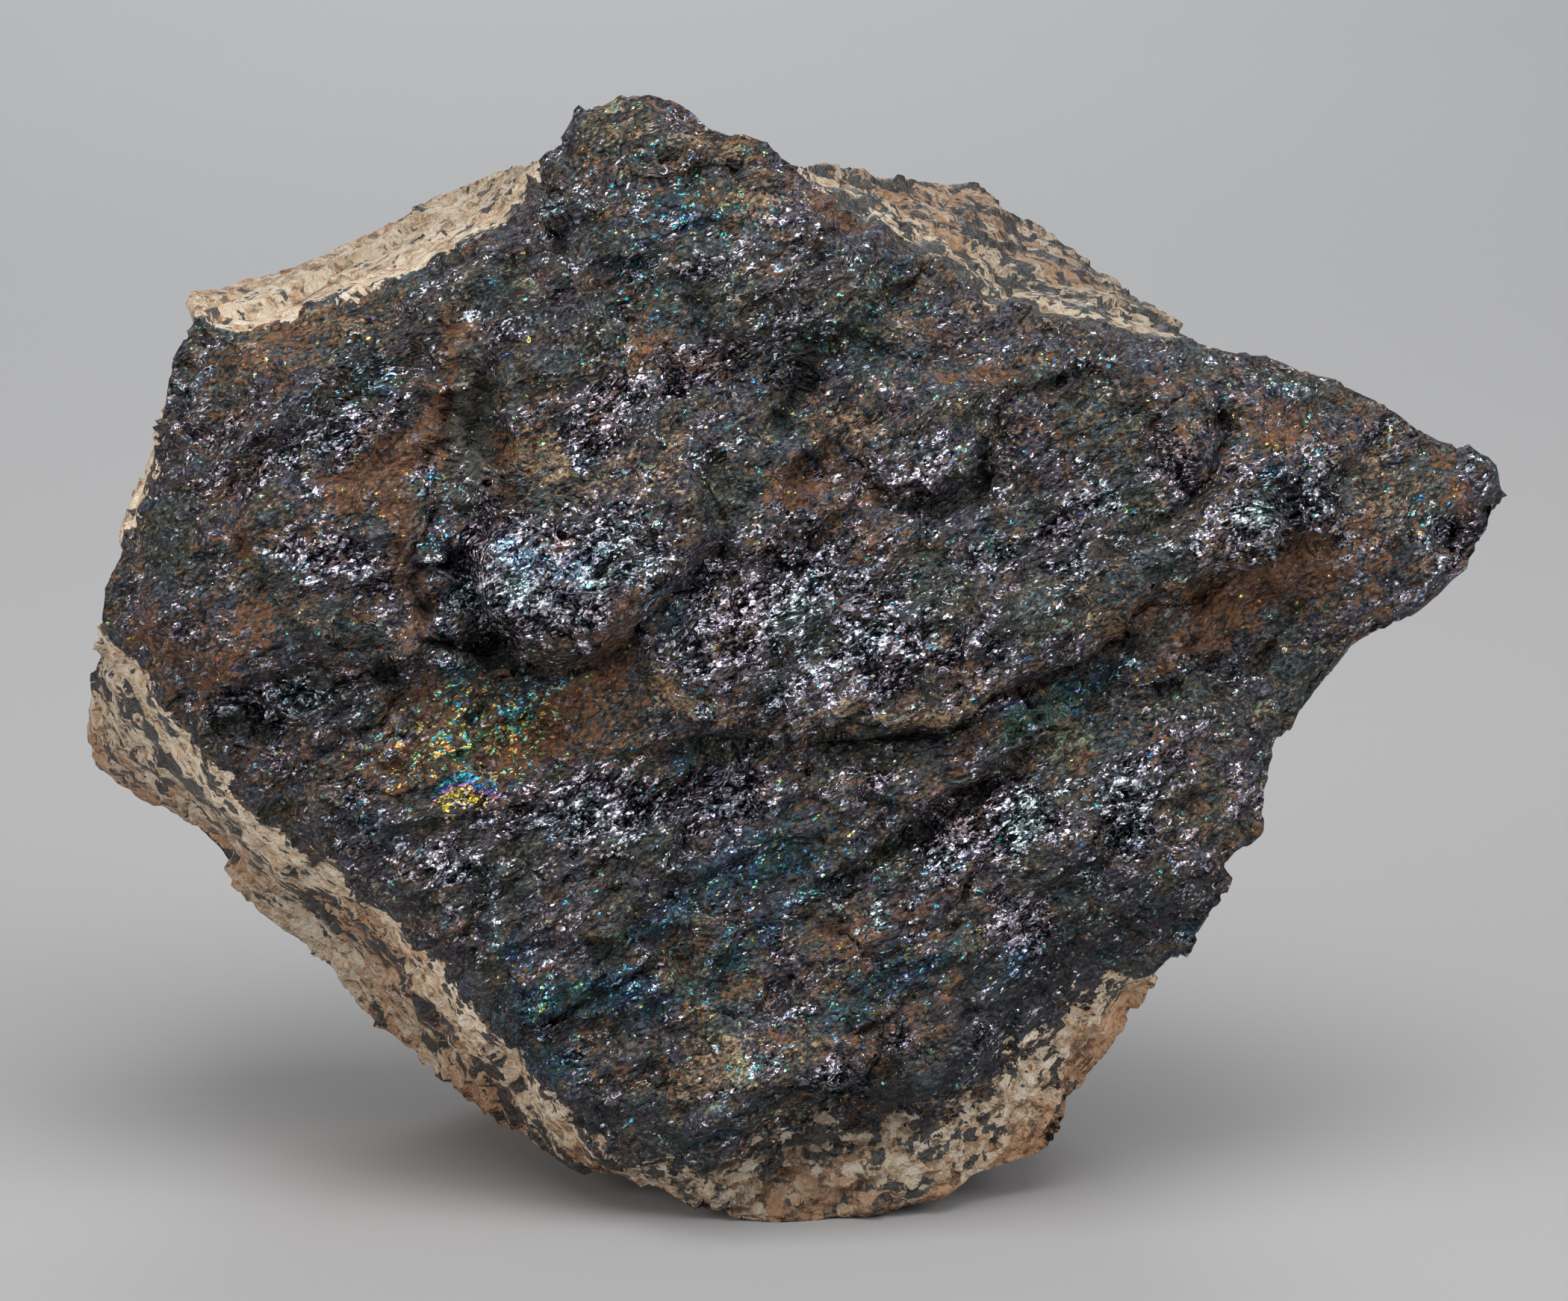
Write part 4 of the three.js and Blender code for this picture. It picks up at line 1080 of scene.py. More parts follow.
        # Painted light and shade: the gneiss's brightness gain by side, paler near the ore and darker
        # further from it.
        far = np.clip(-self.attributes["ore_depth"] / self.stain_from, 0, 1)
        near_far_gain = mix(self.paler_near, self.darker_far, far)
        self.attributes["painted_light_gain"] = near_far_gain * self.by_direction(self.painted_light_gain, angle)
        self.attributes["stain"] = far * self.by_direction(self.stain, angle)

    def build(self) -> bpy.types.Object:
        """Builds the stone's mesh with its attributes.

        Returns:
            The stone, at the origin, in metres.
        """
        smooth, triangles = self.surface()
        self.coat(smooth)
        points = self.lean_back(self.roughen(smooth, triangles))
        mesh = bpy.data.meshes.new("peacock_ore_stone")
        mesh.from_pydata(points.tolist(), [], triangles.tolist())
        for name, values in self.attributes.items():
            layer = mesh.attributes.new(name, "FLOAT", "POINT")
            layer.data.foreach_set("value", values.astype(np.float32))
        mesh.shade_smooth()
        mesh.update()
        stone = bpy.data.objects.new("peacock_ore_stone", mesh)
        bpy.context.scene.collection.objects.link(stone)
        log.info("stone: %d points, %d triangles", len(points), len(triangles))
        return stone


# Finishes ---------------------------------------------------------------------------------------

Out = bpy.types.NodeSocket
Stops = tuple[tuple[float, Colour], ...]


class SocketKind(Enum):
    """Kinds of socket on a shader node group."""

    VALUE = "NodeSocketFloat"
    VECTOR = "NodeSocketVector"


@dataclass(frozen=True)
class Grit:
    """A soft noise: the size of its forms in millimetres, its finer layers and how strong they are."""

    size: float
    detail: float
    rough: float = 0.5


@dataclass
class Nodes:
    """A short way to write a node tree: each method adds one node and gives its output."""

    tree: bpy.types.NodeTree

    def add(
        self, kind: str, inputs: dict[str | int, object] | None = None, **settings: object
    ) -> bpy.types.Node:
        """Adds a node.

        Args:
            kind: the node's type name without its ShaderNode prefix, or the whole name.
            inputs: values or output sockets, by input name or place.
            settings: the node's own settings.

        Returns:
            The node.
        """
        whole = kind if kind.startswith("NodeGroup") else "ShaderNode" + kind
        node = self.tree.nodes.new(whole)
        for name, value in settings.items():
            setattr(node, name, value)
        for name, value in (inputs or {}).items():
            self.feed(node.inputs[name], value)
        return node

    def feed(self, socket: bpy.types.NodeSocket, value: object) -> None:
        """Links an output to a socket, or sets the socket's own value.

        Args:
            socket: the input to feed.
            value: an output socket, or a plain value.
        """
        if isinstance(value, bpy.types.NodeSocket):
            self.tree.links.new(value, socket)
        elif socket.type == "RGBA" and len(value) == 3:
            socket.default_value = (*value, 1)
        else:
            socket.default_value = value

    def math(self, operation: str, a: object, b: object = 0.0, c: object = 0.0) -> Out:
        """One sum on values."""
        return self.add("Math", {0: a, 1: b, 2: c}, operation=operation).outputs[0]

    def times(self, a: object, b: object) -> Out:
        """The product of two values."""
        return self.math("MULTIPLY", a, b)

    def larger(self, a: object, b: object) -> Out:
        """The larger of two values."""
        return self.math("MAXIMUM", a, b)

    def linear(self, value: object, slope: object, start: object) -> Out:
        """The value times the slope, added to the start."""
        return self.math("MULTIPLY_ADD", value, slope, start)

    def swing(self, value: object, slope: object, middle: object) -> Out:
        """The value less a half, times the slope, added to the middle."""
        return self.linear(self.math("SUBTRACT", value, 0.5), slope, middle)

    def vector(self, operation: str, *inputs: object) -> Out:
        """One sum on vectors."""
        return self.add("VectorMath", dict(enumerate(inputs)), operation=operation).outputs[0]

    def scaled(self, vector: object, factor: object) -> Out:
        """A vector or colour times a value."""
        return self.add("VectorMath", {0: vector, "Scale": factor}, operation="SCALE").outputs[0]

    def parts(self, vector: object) -> list[Out]:
        """The three numbers of a vector or colour."""
        return list(self.add("SeparateXYZ", {0: vector}).outputs)

    def between(self, value: object, low: object, high: object) -> Out:
        """Smooth step: 0 below low, 1 above high."""
        inputs = {"Value": value, "From Min": low, "From Max": high}
        return self.add("MapRange", inputs, interpolation_type="SMOOTHSTEP").outputs[0]

    def noise(self, vector: object, grit: Grit) -> bpy.types.bpy_prop_collection:
        """Lays a soft noise and gives its outputs: a value, and a colour of three unlike ones."""
        inputs = {"Vector": vector, "Scale": 1 / grit.size, "Detail": grit.detail}
        return self.add("TexNoise", {**inputs, "Roughness": grit.rough}).outputs

    def noises(self, vector: object, grit: Grit) -> list[Out]:
        """Three unlike soft noises."""
        return self.parts(self.noise(vector, grit)["Color"])

    def cells(self, vector: object, size: float) -> bpy.types.Node:
        """Cells of about a size in millimetres, each with a random colour."""
        return self.add("TexVoronoi", {"Vector": vector, "Scale": 1 / size})

    def blend(self, share: object, a: object, b: object, kind: str = "MIX") -> Out:
        """Colour a, going to colour b by the share."""
        node = self.add("Mix", {0: share, 6: a, 7: b}, data_type="RGBA", blend_type=kind)
        return node.outputs[2]

    def lerp(self, share: object, a: object, b: object) -> Out:
        """Value a, going to value b by the share."""
        return self.add("Mix", {0: share, 2: a, 3: b}, data_type="FLOAT").outputs[0]

    def ramp(self, value: object, stops: Stops) -> Out:
        """A colour read off a ramp in even blends.

        Args:
            value: where to read it, from 0 to 1.
            stops: places on the ramp and their colours.

        Returns:
            The colour.
        """
        node = self.add("ValToRGB", {"Fac": value})
        elements = node.color_ramp.elements
        while len(elements) < len(stops):
            elements.new(0.5)
        for element, (place, colour) in zip(elements, stops):
            element.position = place
            element.color = (*colour, 1)
        return node.outputs["Color"]

    def attribute(self, name: str) -> Out:
        """A number kept on the stone's points."""
        return self.add("Attribute", attribute_name=name).outputs["Fac"]

    def bump(self, height: object, strength: float, distance: float, normal: object) -> Out:
        """The normal, tilted by the slopes of a height whose full step is the distance."""
        inputs = {"Height": height, "Strength": strength, "Distance": distance, "Normal": normal}
        return self.add("Bump", inputs).outputs[0]

    def group(self, name: str, inputs: dict[str, object]) -> bpy.types.bpy_prop_collection:
        """Places a node group and gives its outputs."""
        return self.add("Group", inputs, node_tree=bpy.data.node_groups[name]).outputs


def new_group(
    name: str, inputs: dict[str, SocketKind], outputs: dict[str, SocketKind]
) -> tuple[Nodes, dict[str, Out], bpy.types.Node]:
    """Starts a shader node group.

    Args:
        name: the group's name.
        inputs: its inputs and their kinds.
        outputs: its outputs and their kinds.

    Returns:
        A writer for the group's tree, its inputs by name and its output node.
    """
    tree = bpy.data.node_groups.new(name, "ShaderNodeTree")
    for way, sockets in (("INPUT", inputs), ("OUTPUT", outputs)):
        for label, kind in sockets.items():
            tree.interface.new_socket(label, in_out=way, socket_type=kind.value)
    nodes = Nodes(tree)
    given = nodes.add("NodeGroupInput")
    return nodes, {label: given.outputs[label] for label in inputs}, nodes.add("NodeGroupOutput")


def tilted_grains_group() -> None:
    """Builds grains that each lean their own way, as on a fresh hackly break.

    Every cell of a cell noise holds a random colour. Less a half, that is the lean, and the
    normal plus the lean is made a unit length. The colour's parts pick grains out.
    """
    value, vector = SocketKind.VALUE, SocketKind.VECTOR
    nodes, given, result = new_group(
        "tilted_grains",
        {"Vector": vector, "Scale": value, "Lean": value, "Normal": vector},
        {"Normal": vector, "Pick": value, "Other": value},
    )
    grains = nodes.add("TexVoronoi", {"Vector": given["Vector"], "Scale": given["Scale"]})
    random = grains.outputs["Color"]
    lean = nodes.scaled(nodes.vector("SUBTRACT", random, (0.5, 0.5, 0.5)), given["Lean"])
    leaning = nodes.vector("NORMALIZE", nodes.vector("ADD", given["Normal"], lean))
    nodes.feed(result.inputs["Normal"], leaning)
    pick, other, _unused = nodes.parts(random)
    nodes.feed(result.inputs["Pick"], pick)
    nodes.feed(result.inputs["Other"], other)


def ragged_mask_group() -> None:
    """Builds a coat's mask: where its level, roughened by noise, passes a half.

    The level gains the noise less its mean, times the raggedness. A smooth step makes the edge.
    """
    value = SocketKind.VALUE
    nodes, given, result = new_group(
        "ragged_mask",
        {"Noise": value, "Level": value, "Raggedness": value, "Softness": value},
        {"Mask": value},
    )
    swing = nodes.swing(given["Noise"], given["Raggedness"], given["Level"])
    low = nodes.math("SUBTRACT", 0.5, given["Softness"])
    high = nodes.math("ADD", 0.5, given["Softness"])
    nodes.feed(result.inputs["Mask"], nodes.between(swing, low, high))


@dataclass
class Surface:
    """What a finish hands on: colour, roughness, metalness and normal."""

    colour: Out
    roughness: Out
    metallic: object
    normal: Out


@dataclass(frozen=True)
class Cover:
    """How a coat spreads over the ore.

    Its level is its patches times `amount`, plus `floor`, plus the swing of one of the wide
    drifts. The mask's noise is one of the speckled ones, or the streaky one where `grit` is None.
    """

    amount: float
    drift: int
    swing: float
    floor: float
    grit: int | None
    ragged: float
    soft: float


COVERS = {
    Coat.RUST: Cover(0.8, 1, 1.4, 0.07, 1, 4.6, 0.14),
    Coat.TAN: Cover(0.75, 0, 1.2, 0.06, 0, 4.2, 0.12),
    Coat.SAGE: Cover(0.9, 0, 0.6, -0.05, 2, 4.0, 0.12),
    Coat.OLIVE: Cover(0.9, 2, 0.8, 0.0, None, 2.4, 0.15),
    Coat.SHADED_SELVAGE: Cover(0.9, 2, 0.8, -0.1, None, 2.4, 0.2),
    Coat.BLUE: Cover(0.6, 2, 0.8, 0.0, 2, 4.0, 0.3),
    Coat.GLITTER: Cover(0.62, 2, 1.4, 0.20, None, 2.2, 0.42),
}


@dataclass
class OreFields:
    """What the steps of the ore share: its coats' amounts, and noises from 0 to 1 in threes."""

    level: dict[Coat, Out]
    inside: Out
    wide: list[Out]
    broad: list[Out]
    fine: list[Out]
    block: list[Out]
    hackle: Out
    height: Out
    streaks: Out
    close: Out
    felt: Out


@dataclass
class OreGrains:
    """The grains: numbers that pick one grain, numbers for the plate under it, and the normal."""

    pick: Out
    other: Out
    plate_pick: Out
    plate_other: Out
    normal: Out


@dataclass(frozen=True)
class OreFinish:
    """Tarnished bornite: felty slate ground, sparkling clusters and coats of rust and tarnish.

    Sizes and depths of the noises are in millimetres, but `hackle_depth` is in metres. A pair
    named `from` is where a mask begins and where it is whole. The three numbers of the metalness
    and the roughness are for the bare ore, the coated ore and the glitter. `filmed` is how far
    the blue tarnish tints the ground and the glitter. `texture` and `bright` are a grain's own
    share, then the slope and start of what it is added to. `facet` is the shards' share and the
    swing of a grain's brightness, and `hue` is the drift's share, slope and start. `strewn`
    weighs the patches, the streaks and the shards in where coloured specks lie, and `tint` weighs
    the shards, the whole and the rust in their colour.
    """

    cool: Stops = (
        (0.28, (0.009, 0.009, 0.011)),
        (0.42, (0.029, 0.030, 0.037)),
        (0.58, (0.074, 0.077, 0.092)),
        (0.76, (0.18, 0.18, 0.20)),
    )
    warm: Stops = (
        (0.28, (0.009, 0.007, 0.006)),
        (0.42, (0.038, 0.028, 0.022)),
        (0.58, (0.100, 0.071, 0.050)),
        (0.76, (0.22, 0.16, 0.11)),
    )
    sparkle: Stops = (
        (0.22, (0.008, 0.008, 0.010)),
        (0.42, (0.062, 0.060, 0.068)),
        (0.62, (0.22, 0.21, 0.235)),
        (0.83, (0.95, 0.93, 0.97)),
    )
    sheen: Stops = (
        (0.30, (0.82, 1.04, 1.02)),
        (0.44, (0.95, 0.97, 1.06)),
        (0.56, (1.00, 0.92, 1.02)),
        (0.70, (1.05, 0.90, 0.90)),
    )
    cast: Stops = (
        (0.30, (0.72, 1.06, 1.06)),
        (0.43, (0.92, 1.02, 0.90)),
        (0.56, (0.98, 0.94, 1.16)),
        (0.70, (1.20, 0.94, 0.84)),
    )
    film: Stops = (
        (0.02, (0.90, 0.55, 1.00)),
        (0.14, (0.40, 0.38, 1.35)),
        (0.30, (0.14, 0.65, 1.60)),
        (0.48, (0.10, 1.15, 1.60)),
        (0.70, (0.18, 1.10, 0.90)),
        (0.86, (1.20, 0.95, 0.35)),
    )
    rust: Stops = (
        (0.32, (0.030, 0.013, 0.008)),
        (0.46, (0.108, 0.046, 0.021)),
        (0.66, (0.255, 0.115, 0.050)),
    )
    tan: Stops = (
        (0.34, (0.060, 0.039, 0.024)),
        (0.48, (0.215, 0.138, 0.078)),
        (0.64, (0.44, 0.30, 0.17)),
    )
    sage: Stops = (
        (0.34, (0.055, 0.062, 0.050)),
        (0.48, (0.180, 0.195, 0.125)),
        (0.62, (0.42, 0.44, 0.30)),
    )
    olive: Stops = ((0.32, (0.020, 0.020, 0.016)), (0.62, (0.085, 0.084, 0.064)))
    # Near-black smooth rim ore: partly its own colour, partly painted shade of edges that face down.
    selvage: Stops = ((0.32, (0.007, 0.008, 0.010)), (0.64, (0.040, 0.043, 0.052)))
    rainbow: Stops = (
        (0.16, (0.05, 0.60, 0.75)),
        (0.34, (0.12, 0.16, 0.80)),
        (0.48, (0.75, 0.28, 0.50)),
        (0.62, (1.00, 0.82, 0.15)),
    )
    specks: Stops = (
        (0.03, (0.62, 0.20, 0.56)),
        (0.10, (0.14, 0.20, 0.85)),
        (0.20, (0.07, 0.58, 0.92)),
        (0.40, (0.16, 0.80, 0.84)),
        (0.58, (0.46, 0.78, 0.36)),
        (0.74, (0.95, 0.74, 0.22)),
        (0.93, (0.92, 0.42, 0.14)),
    )
    # The colour of painted shade in cracks, seams and sunken plates.
    painted_shade_black: Colour = (0.004, 0.004, 0.004)
    grain: float = 0.26
    shard: float = 0.7
    plate: float = 1.7
    felt: Grit = Grit(0.5, 2.0, 0.65)
    hackle: Grit = Grit(1.4, 3.0, 0.62)
    streak: Grit = Grit(2.2, 3.0, 0.7)
    seam: Grit = Grit(4.5, 3.0, 0.65)
    drift: Grit = Grit(9.0, 2.0)
    drift_reach: float = 7.0
    streak_stretch: Triple = (0.55, 1.0, 1.0)
    close_stretch: Triple = (0.68, 1.0, 1.0)
    plate_stretch: Triple = (0.45, 1.0, 1.0)
    plate_tear: Triple = (0.6, 1.0, 1.0)
    grain_bend: Triple = (0.15, 0.15, 0.15)
    plate_lean: float = 0.6
    grain_lean: Pair = (0.45, 1.2)
    shard_height: float = -0.35
    hackle_depth: float = 0.0012
    calm_rim: float = 6.0
    warm_from: Pair = (0.49, 0.61)
    seam_width: Pair = (0.008, 0.030)
    fissure_from: Pair = (0.40, 0.48)
    fissure_black: float = 0.8
    sunken_from: Pair = (0.80, 0.82)
    sunken_black: Pair = (0.42, 0.12)
    most_black: float = 0.94
    stray_from: Pair = (0.60, 0.68)
    stray_film: float = 0.6
    filmed: Pair = (0.92, 0.55)
    glitter_from: Pair = (0.86, 1.02)
    speck_from: float = 1.08
    spot_from: Pair = (0.36, 0.50)
    spot_kept_from: float = 0.35
    fine_share: float = 0.5
    warm_fine: float = 0.3
    warm_plate: float = 0.10
    texture: Triple = (0.22, 1.0, 0.39)
    bright: Triple = (0.5, 0.10, 0.19)
    facet: Pair = (0.5, 1.1)
    hue: Triple = (0.35, 1.6, -0.27)
    rust_dulls: float = 0.8
    strewn: Triple = (0.12, 0.3, 0.55)
    tint: Triple = (0.65, 0.85, 0.3)
    spot_ragged: float = 0.7
    rainbow_ragged: float = 0.35
    spot_shine: float = 0.8
    metalness: Triple = (0.25, 0.0, 1.0)
    roughness: Triple = (0.55, 0.8, 0.30)

    def fields(self, nodes: Nodes, aligned: Out) -> OreFields:
        """Lays out the noises, drawn out along the rock's fabric.

        The streaks' place is moved by the wide drift, so that they wander.

        Args:
            nodes: the material's writer.
            aligned: coordinates in millimetres, X along the rock's fabric.

        Returns:
            The fields.
        """
        drift = nodes.noise(aligned, self.drift)["Color"]
        flow = nodes.vector("MULTIPLY_ADD", drift, (self.drift_reach,) * 3, aligned)
        streaks = nodes.vector("MULTIPLY", flow, self.streak_stretch)
        close = nodes.vector("MULTIPLY", aligned, self.close_stretch)
        felt = nodes.noise(close, self.felt)["Color"]
        hackle = nodes.noise(close, self.hackle)[0]
        shards = nodes.cells(close, self.shard).outputs
        return OreFields(
            level={coat: nodes.attribute(coat.value) for coat in Coat},
            inside=nodes.between(nodes.attribute("ore_depth"), 0.0, self.calm_rim),
            wide=nodes.parts(drift),
            broad=nodes.noises(streaks, self.streak),
            fine=nodes.parts(felt),
            block=nodes.parts(shards["Color"]),
            hackle=hackle,
            height=nodes.linear(shards["Distance"], self.shard_height, hackle),
            streaks=streaks,
            close=close,
            felt=felt,
        )

    def masks(self, nodes: Nodes, given: OreFields) -> dict[Coat, Out]:
        """Where each coat lies. The glitter dies out towards the rim.

        Args:
            nodes: the material's writer.
            given: the ore's fields.

        Returns:
            The mask of each coat that has a cover.
        """
        masks = {}
        for coat, cover in COVERS.items():
            own = nodes.linear(given.level[coat], cover.amount, cover.floor)
            level = nodes.swing(given.wide[cover.drift], cover.swing, own)
            if coat is Coat.GLITTER:
                level = nodes.times(level, given.inside)
            grit = given.broad[0]
            if cover.grit is not None:
                grit = nodes.lerp(self.fine_share, given.broad[cover.grit], given.fine[cover.grit])
            inputs = {"Noise": grit, "Level": level, "Raggedness": cover.ragged, "Softness": cover.soft}
            masks[coat] = nodes.group("ragged_mask", inputs)["Mask"]
        return masks

    def grains(self, nodes: Nodes, aligned: Out, normal: Out, given: OreFields, glitter: Out) -> OreGrains:
        """Tilts the surface three times: by torn plates, by the hackly break and by the grains.

        Args:
            nodes: the material's writer.
            aligned: coordinates in millimetres, X along the rock's fabric.
            normal: the surface's normal.
            given: the ore's fields.
            glitter: where the clusters are, whose grains lean further.

        Returns:
            The grains.
        """
        drawn_out = nodes.vector("MULTIPLY", aligned, self.plate_stretch)
        torn = nodes.vector("MULTIPLY_ADD", given.felt, self.plate_tear, drawn_out)
        plates = nodes.group(
            "tilted_grains",
            {"Vector": torn, "Scale": 1 / self.plate, "Lean": self.plate_lean, "Normal": normal},
        )
        hackled = nodes.bump(given.height, 1.0, self.hackle_depth, plates["Normal"])
        bent = nodes.vector("MULTIPLY_ADD", given.felt, self.grain_bend, given.close)
        lean = nodes.lerp(glitter, *self.grain_lean)
        grains = nodes.group(
            "tilted_grains", {"Vector": bent, "Scale": 1 / self.grain, "Lean": lean, "Normal": hackled}
        )
        return OreGrains(grains["Pick"], grains["Other"], plates["Pick"], plates["Other"], grains["Normal"])

    def ground(self, nodes: Nodes, given: OreFields, grains: OreGrains, texture: Out) -> Out:
        """The bare ore: cool or warm by the noises, tinted by a wide cast.

        Args:
            nodes: the material's writer.
            given: the ore's fields.
            grains: the grains.
            texture: from dark to bright grain.

        Returns:
            The colour.
        """
        warmth = nodes.lerp(self.warm_fine, given.broad[1], given.fine[1])
        warmth = nodes.linear(grains.plate_other, self.warm_plate, warmth)
        warmth = nodes.between(warmth, *self.warm_from)
        ground = nodes.blend(warmth, nodes.ramp(texture, self.cool), nodes.ramp(texture, self.warm))
        return nodes.blend(1.0, ground, nodes.ramp(given.wide[2], self.cast), "MULTIPLY")

    def shade(self, nodes: Nodes, given: OreFields, grains: OreGrains, rust: Out) -> Out:
        """Painted shade: how black the cracks, the broken seams and the sunken plates are.

        A seam is where a soft noise passes a half, kept only where the streaks are high.

        Args:
            nodes: the material's writer.
            given: the ore's fields.
            grains: the grains.
            rust: the mask of the rust, which fills the sunken plates.

        Returns:
            The share of black, as painted shade.
        """
        seam = nodes.noise(given.streaks, self.seam)[0]
        seam = nodes.math("ABSOLUTE", nodes.math("SUBTRACT", seam, 0.5))
        closed = nodes.math("SUBTRACT", 1.0, nodes.between(seam, *self.seam_width))
        fissure = nodes.times(nodes.between(given.broad[0], *self.fissure_from), closed)
        sunken = nodes.between(grains.plate_pick, *self.sunken_from)
        sunken = nodes.times(sunken, nodes.lerp(rust, *self.sunken_black))
        drawn = nodes.linear(fissure, self.fissure_black, given.level[Coat.SHADE])
        return nodes.math("MINIMUM", nodes.math("ADD", sunken, drawn), self.most_black)

    def build(self, nodes: Nodes, aligned: Out, normal: Out) -> Surface:
        """Builds the ore.

        Args:
            nodes: the material's writer.
            aligned: coordinates in millimetres, X along the rock's fabric and Y into the stone.
            normal: the surface's normal.

        Returns:
            The ore's colour, roughness, metalness and normal.
        """
        given = self.fields(nodes, aligned)
        masks = self.masks(nodes, given)
        clustered, rust, blue = masks[Coat.GLITTER], masks[Coat.RUST], masks[Coat.BLUE]
        grains = self.grains(nodes, aligned, normal, given, clustered)
        pick, other = grains.pick, grains.other

        texture = nodes.linear(pick, self.texture[0], nodes.swing(given.fine[0], *self.texture[1:]))
        bright = nodes.linear(given.level[Coat.GLITTER], *self.bright[1:])
        bright = nodes.linear(pick, self.bright[0], bright)
        facet = nodes.lerp(self.facet[0], given.hackle, given.block[0])
        facet = nodes.swing(facet, self.facet[1], bright)
        hue = nodes.lerp(self.hue[0], other, nodes.linear(given.wide[0], *self.hue[1:]))
        hue = nodes.ramp(hue, self.film)

        colour = self.ground(nodes, given, grains, texture)
        for coat, share, value, stops in (
            (Coat.TAN, 0.85, texture, self.tan),
            (Coat.SAGE, 0.85, texture, self.sage),
            (Coat.RUST, 0.92, given.fine[1], self.rust),
            (Coat.OLIVE, 0.9, texture, self.olive),
            (Coat.SHADED_SELVAGE, 0.9, texture, self.selvage),
        ):
            colour = nodes.blend(nodes.times(masks[coat], share), colour, nodes.ramp(value, stops))
        stray = nodes.times(nodes.between(given.fine[2], *self.stray_from), self.stray_film)
        filmed = nodes.larger(nodes.times(blue, self.filmed[0]), stray)
        colour = nodes.blend(filmed, colour, hue, "MULTIPLY")

        sheen = nodes.ramp(given.wide[1], self.sheen)
        glint = nodes.blend(1.0, nodes.ramp(facet, self.sparkle), sheen, "MULTIPLY")
        glint = nodes.blend(nodes.times(blue, self.filmed[1]), glint, hue, "MULTIPLY")
        glitter = nodes.between(nodes.math("ADD", facet, clustered), *self.glitter_from)
        dulled = nodes.math("SUBTRACT", 1.0, nodes.times(rust, self.rust_dulls))
        glitter = nodes.times(glitter, dulled)
        colour = nodes.blend(glitter, colour, glint)

        strewn = nodes.times(given.broad[1], self.strewn[1])
        strewn = nodes.linear(given.level[Coat.IRIS], self.strewn[0], strewn)
        strewn = nodes.math("ADD", strewn, nodes.lerp(self.strewn[2], other, given.block[1]))
        speck = nodes.times(nodes.math("GREATER_THAN", strewn, self.speck_from), given.inside)
        tint = nodes.times(nodes.lerp(self.tint[0], pick, given.block[2]), self.tint[1])
        tint = nodes.ramp(nodes.linear(rust, self.tint[2], tint), self.specks)
        colour = nodes.blend(speck, colour, tint)

        uneven = nodes.math("SUBTRACT", facet, 0.5)
        spot = nodes.linear(uneven, self.spot_ragged, given.level[Coat.SPOT])
        spot = nodes.between(spot, *self.spot_from)
        spot = nodes.times(spot, nodes.math("GREATER_THAN", other, self.spot_kept_from))
        rainbow = nodes.linear(uneven, self.rainbow_ragged, given.level[Coat.GOLD])
        colour = nodes.blend(spot, colour, nodes.ramp(rainbow, self.rainbow))
        # Painted shade: black blended in over the cracks, seams, sunken plates and shade patches.
        colour = nodes.blend(self.shade(nodes, given, grains, rust), colour, self.painted_shade_black)

        glitter = nodes.larger(nodes.larger(glitter, speck), nodes.times(spot, self.spot_shine))
        coated = nodes.larger(
            nodes.larger(rust, masks[Coat.TAN]), nodes.larger(masks[Coat.SAGE], masks[Coat.OLIVE])
        )
        metallic = nodes.lerp(glitter, nodes.lerp(coated, *self.metalness[:2]), self.metalness[2])
        roughness = nodes.lerp(glitter, nodes.lerp(coated, *self.roughness[:2]), self.roughness[2])
        return Surface(colour, roughness, metallic, grains.normal)


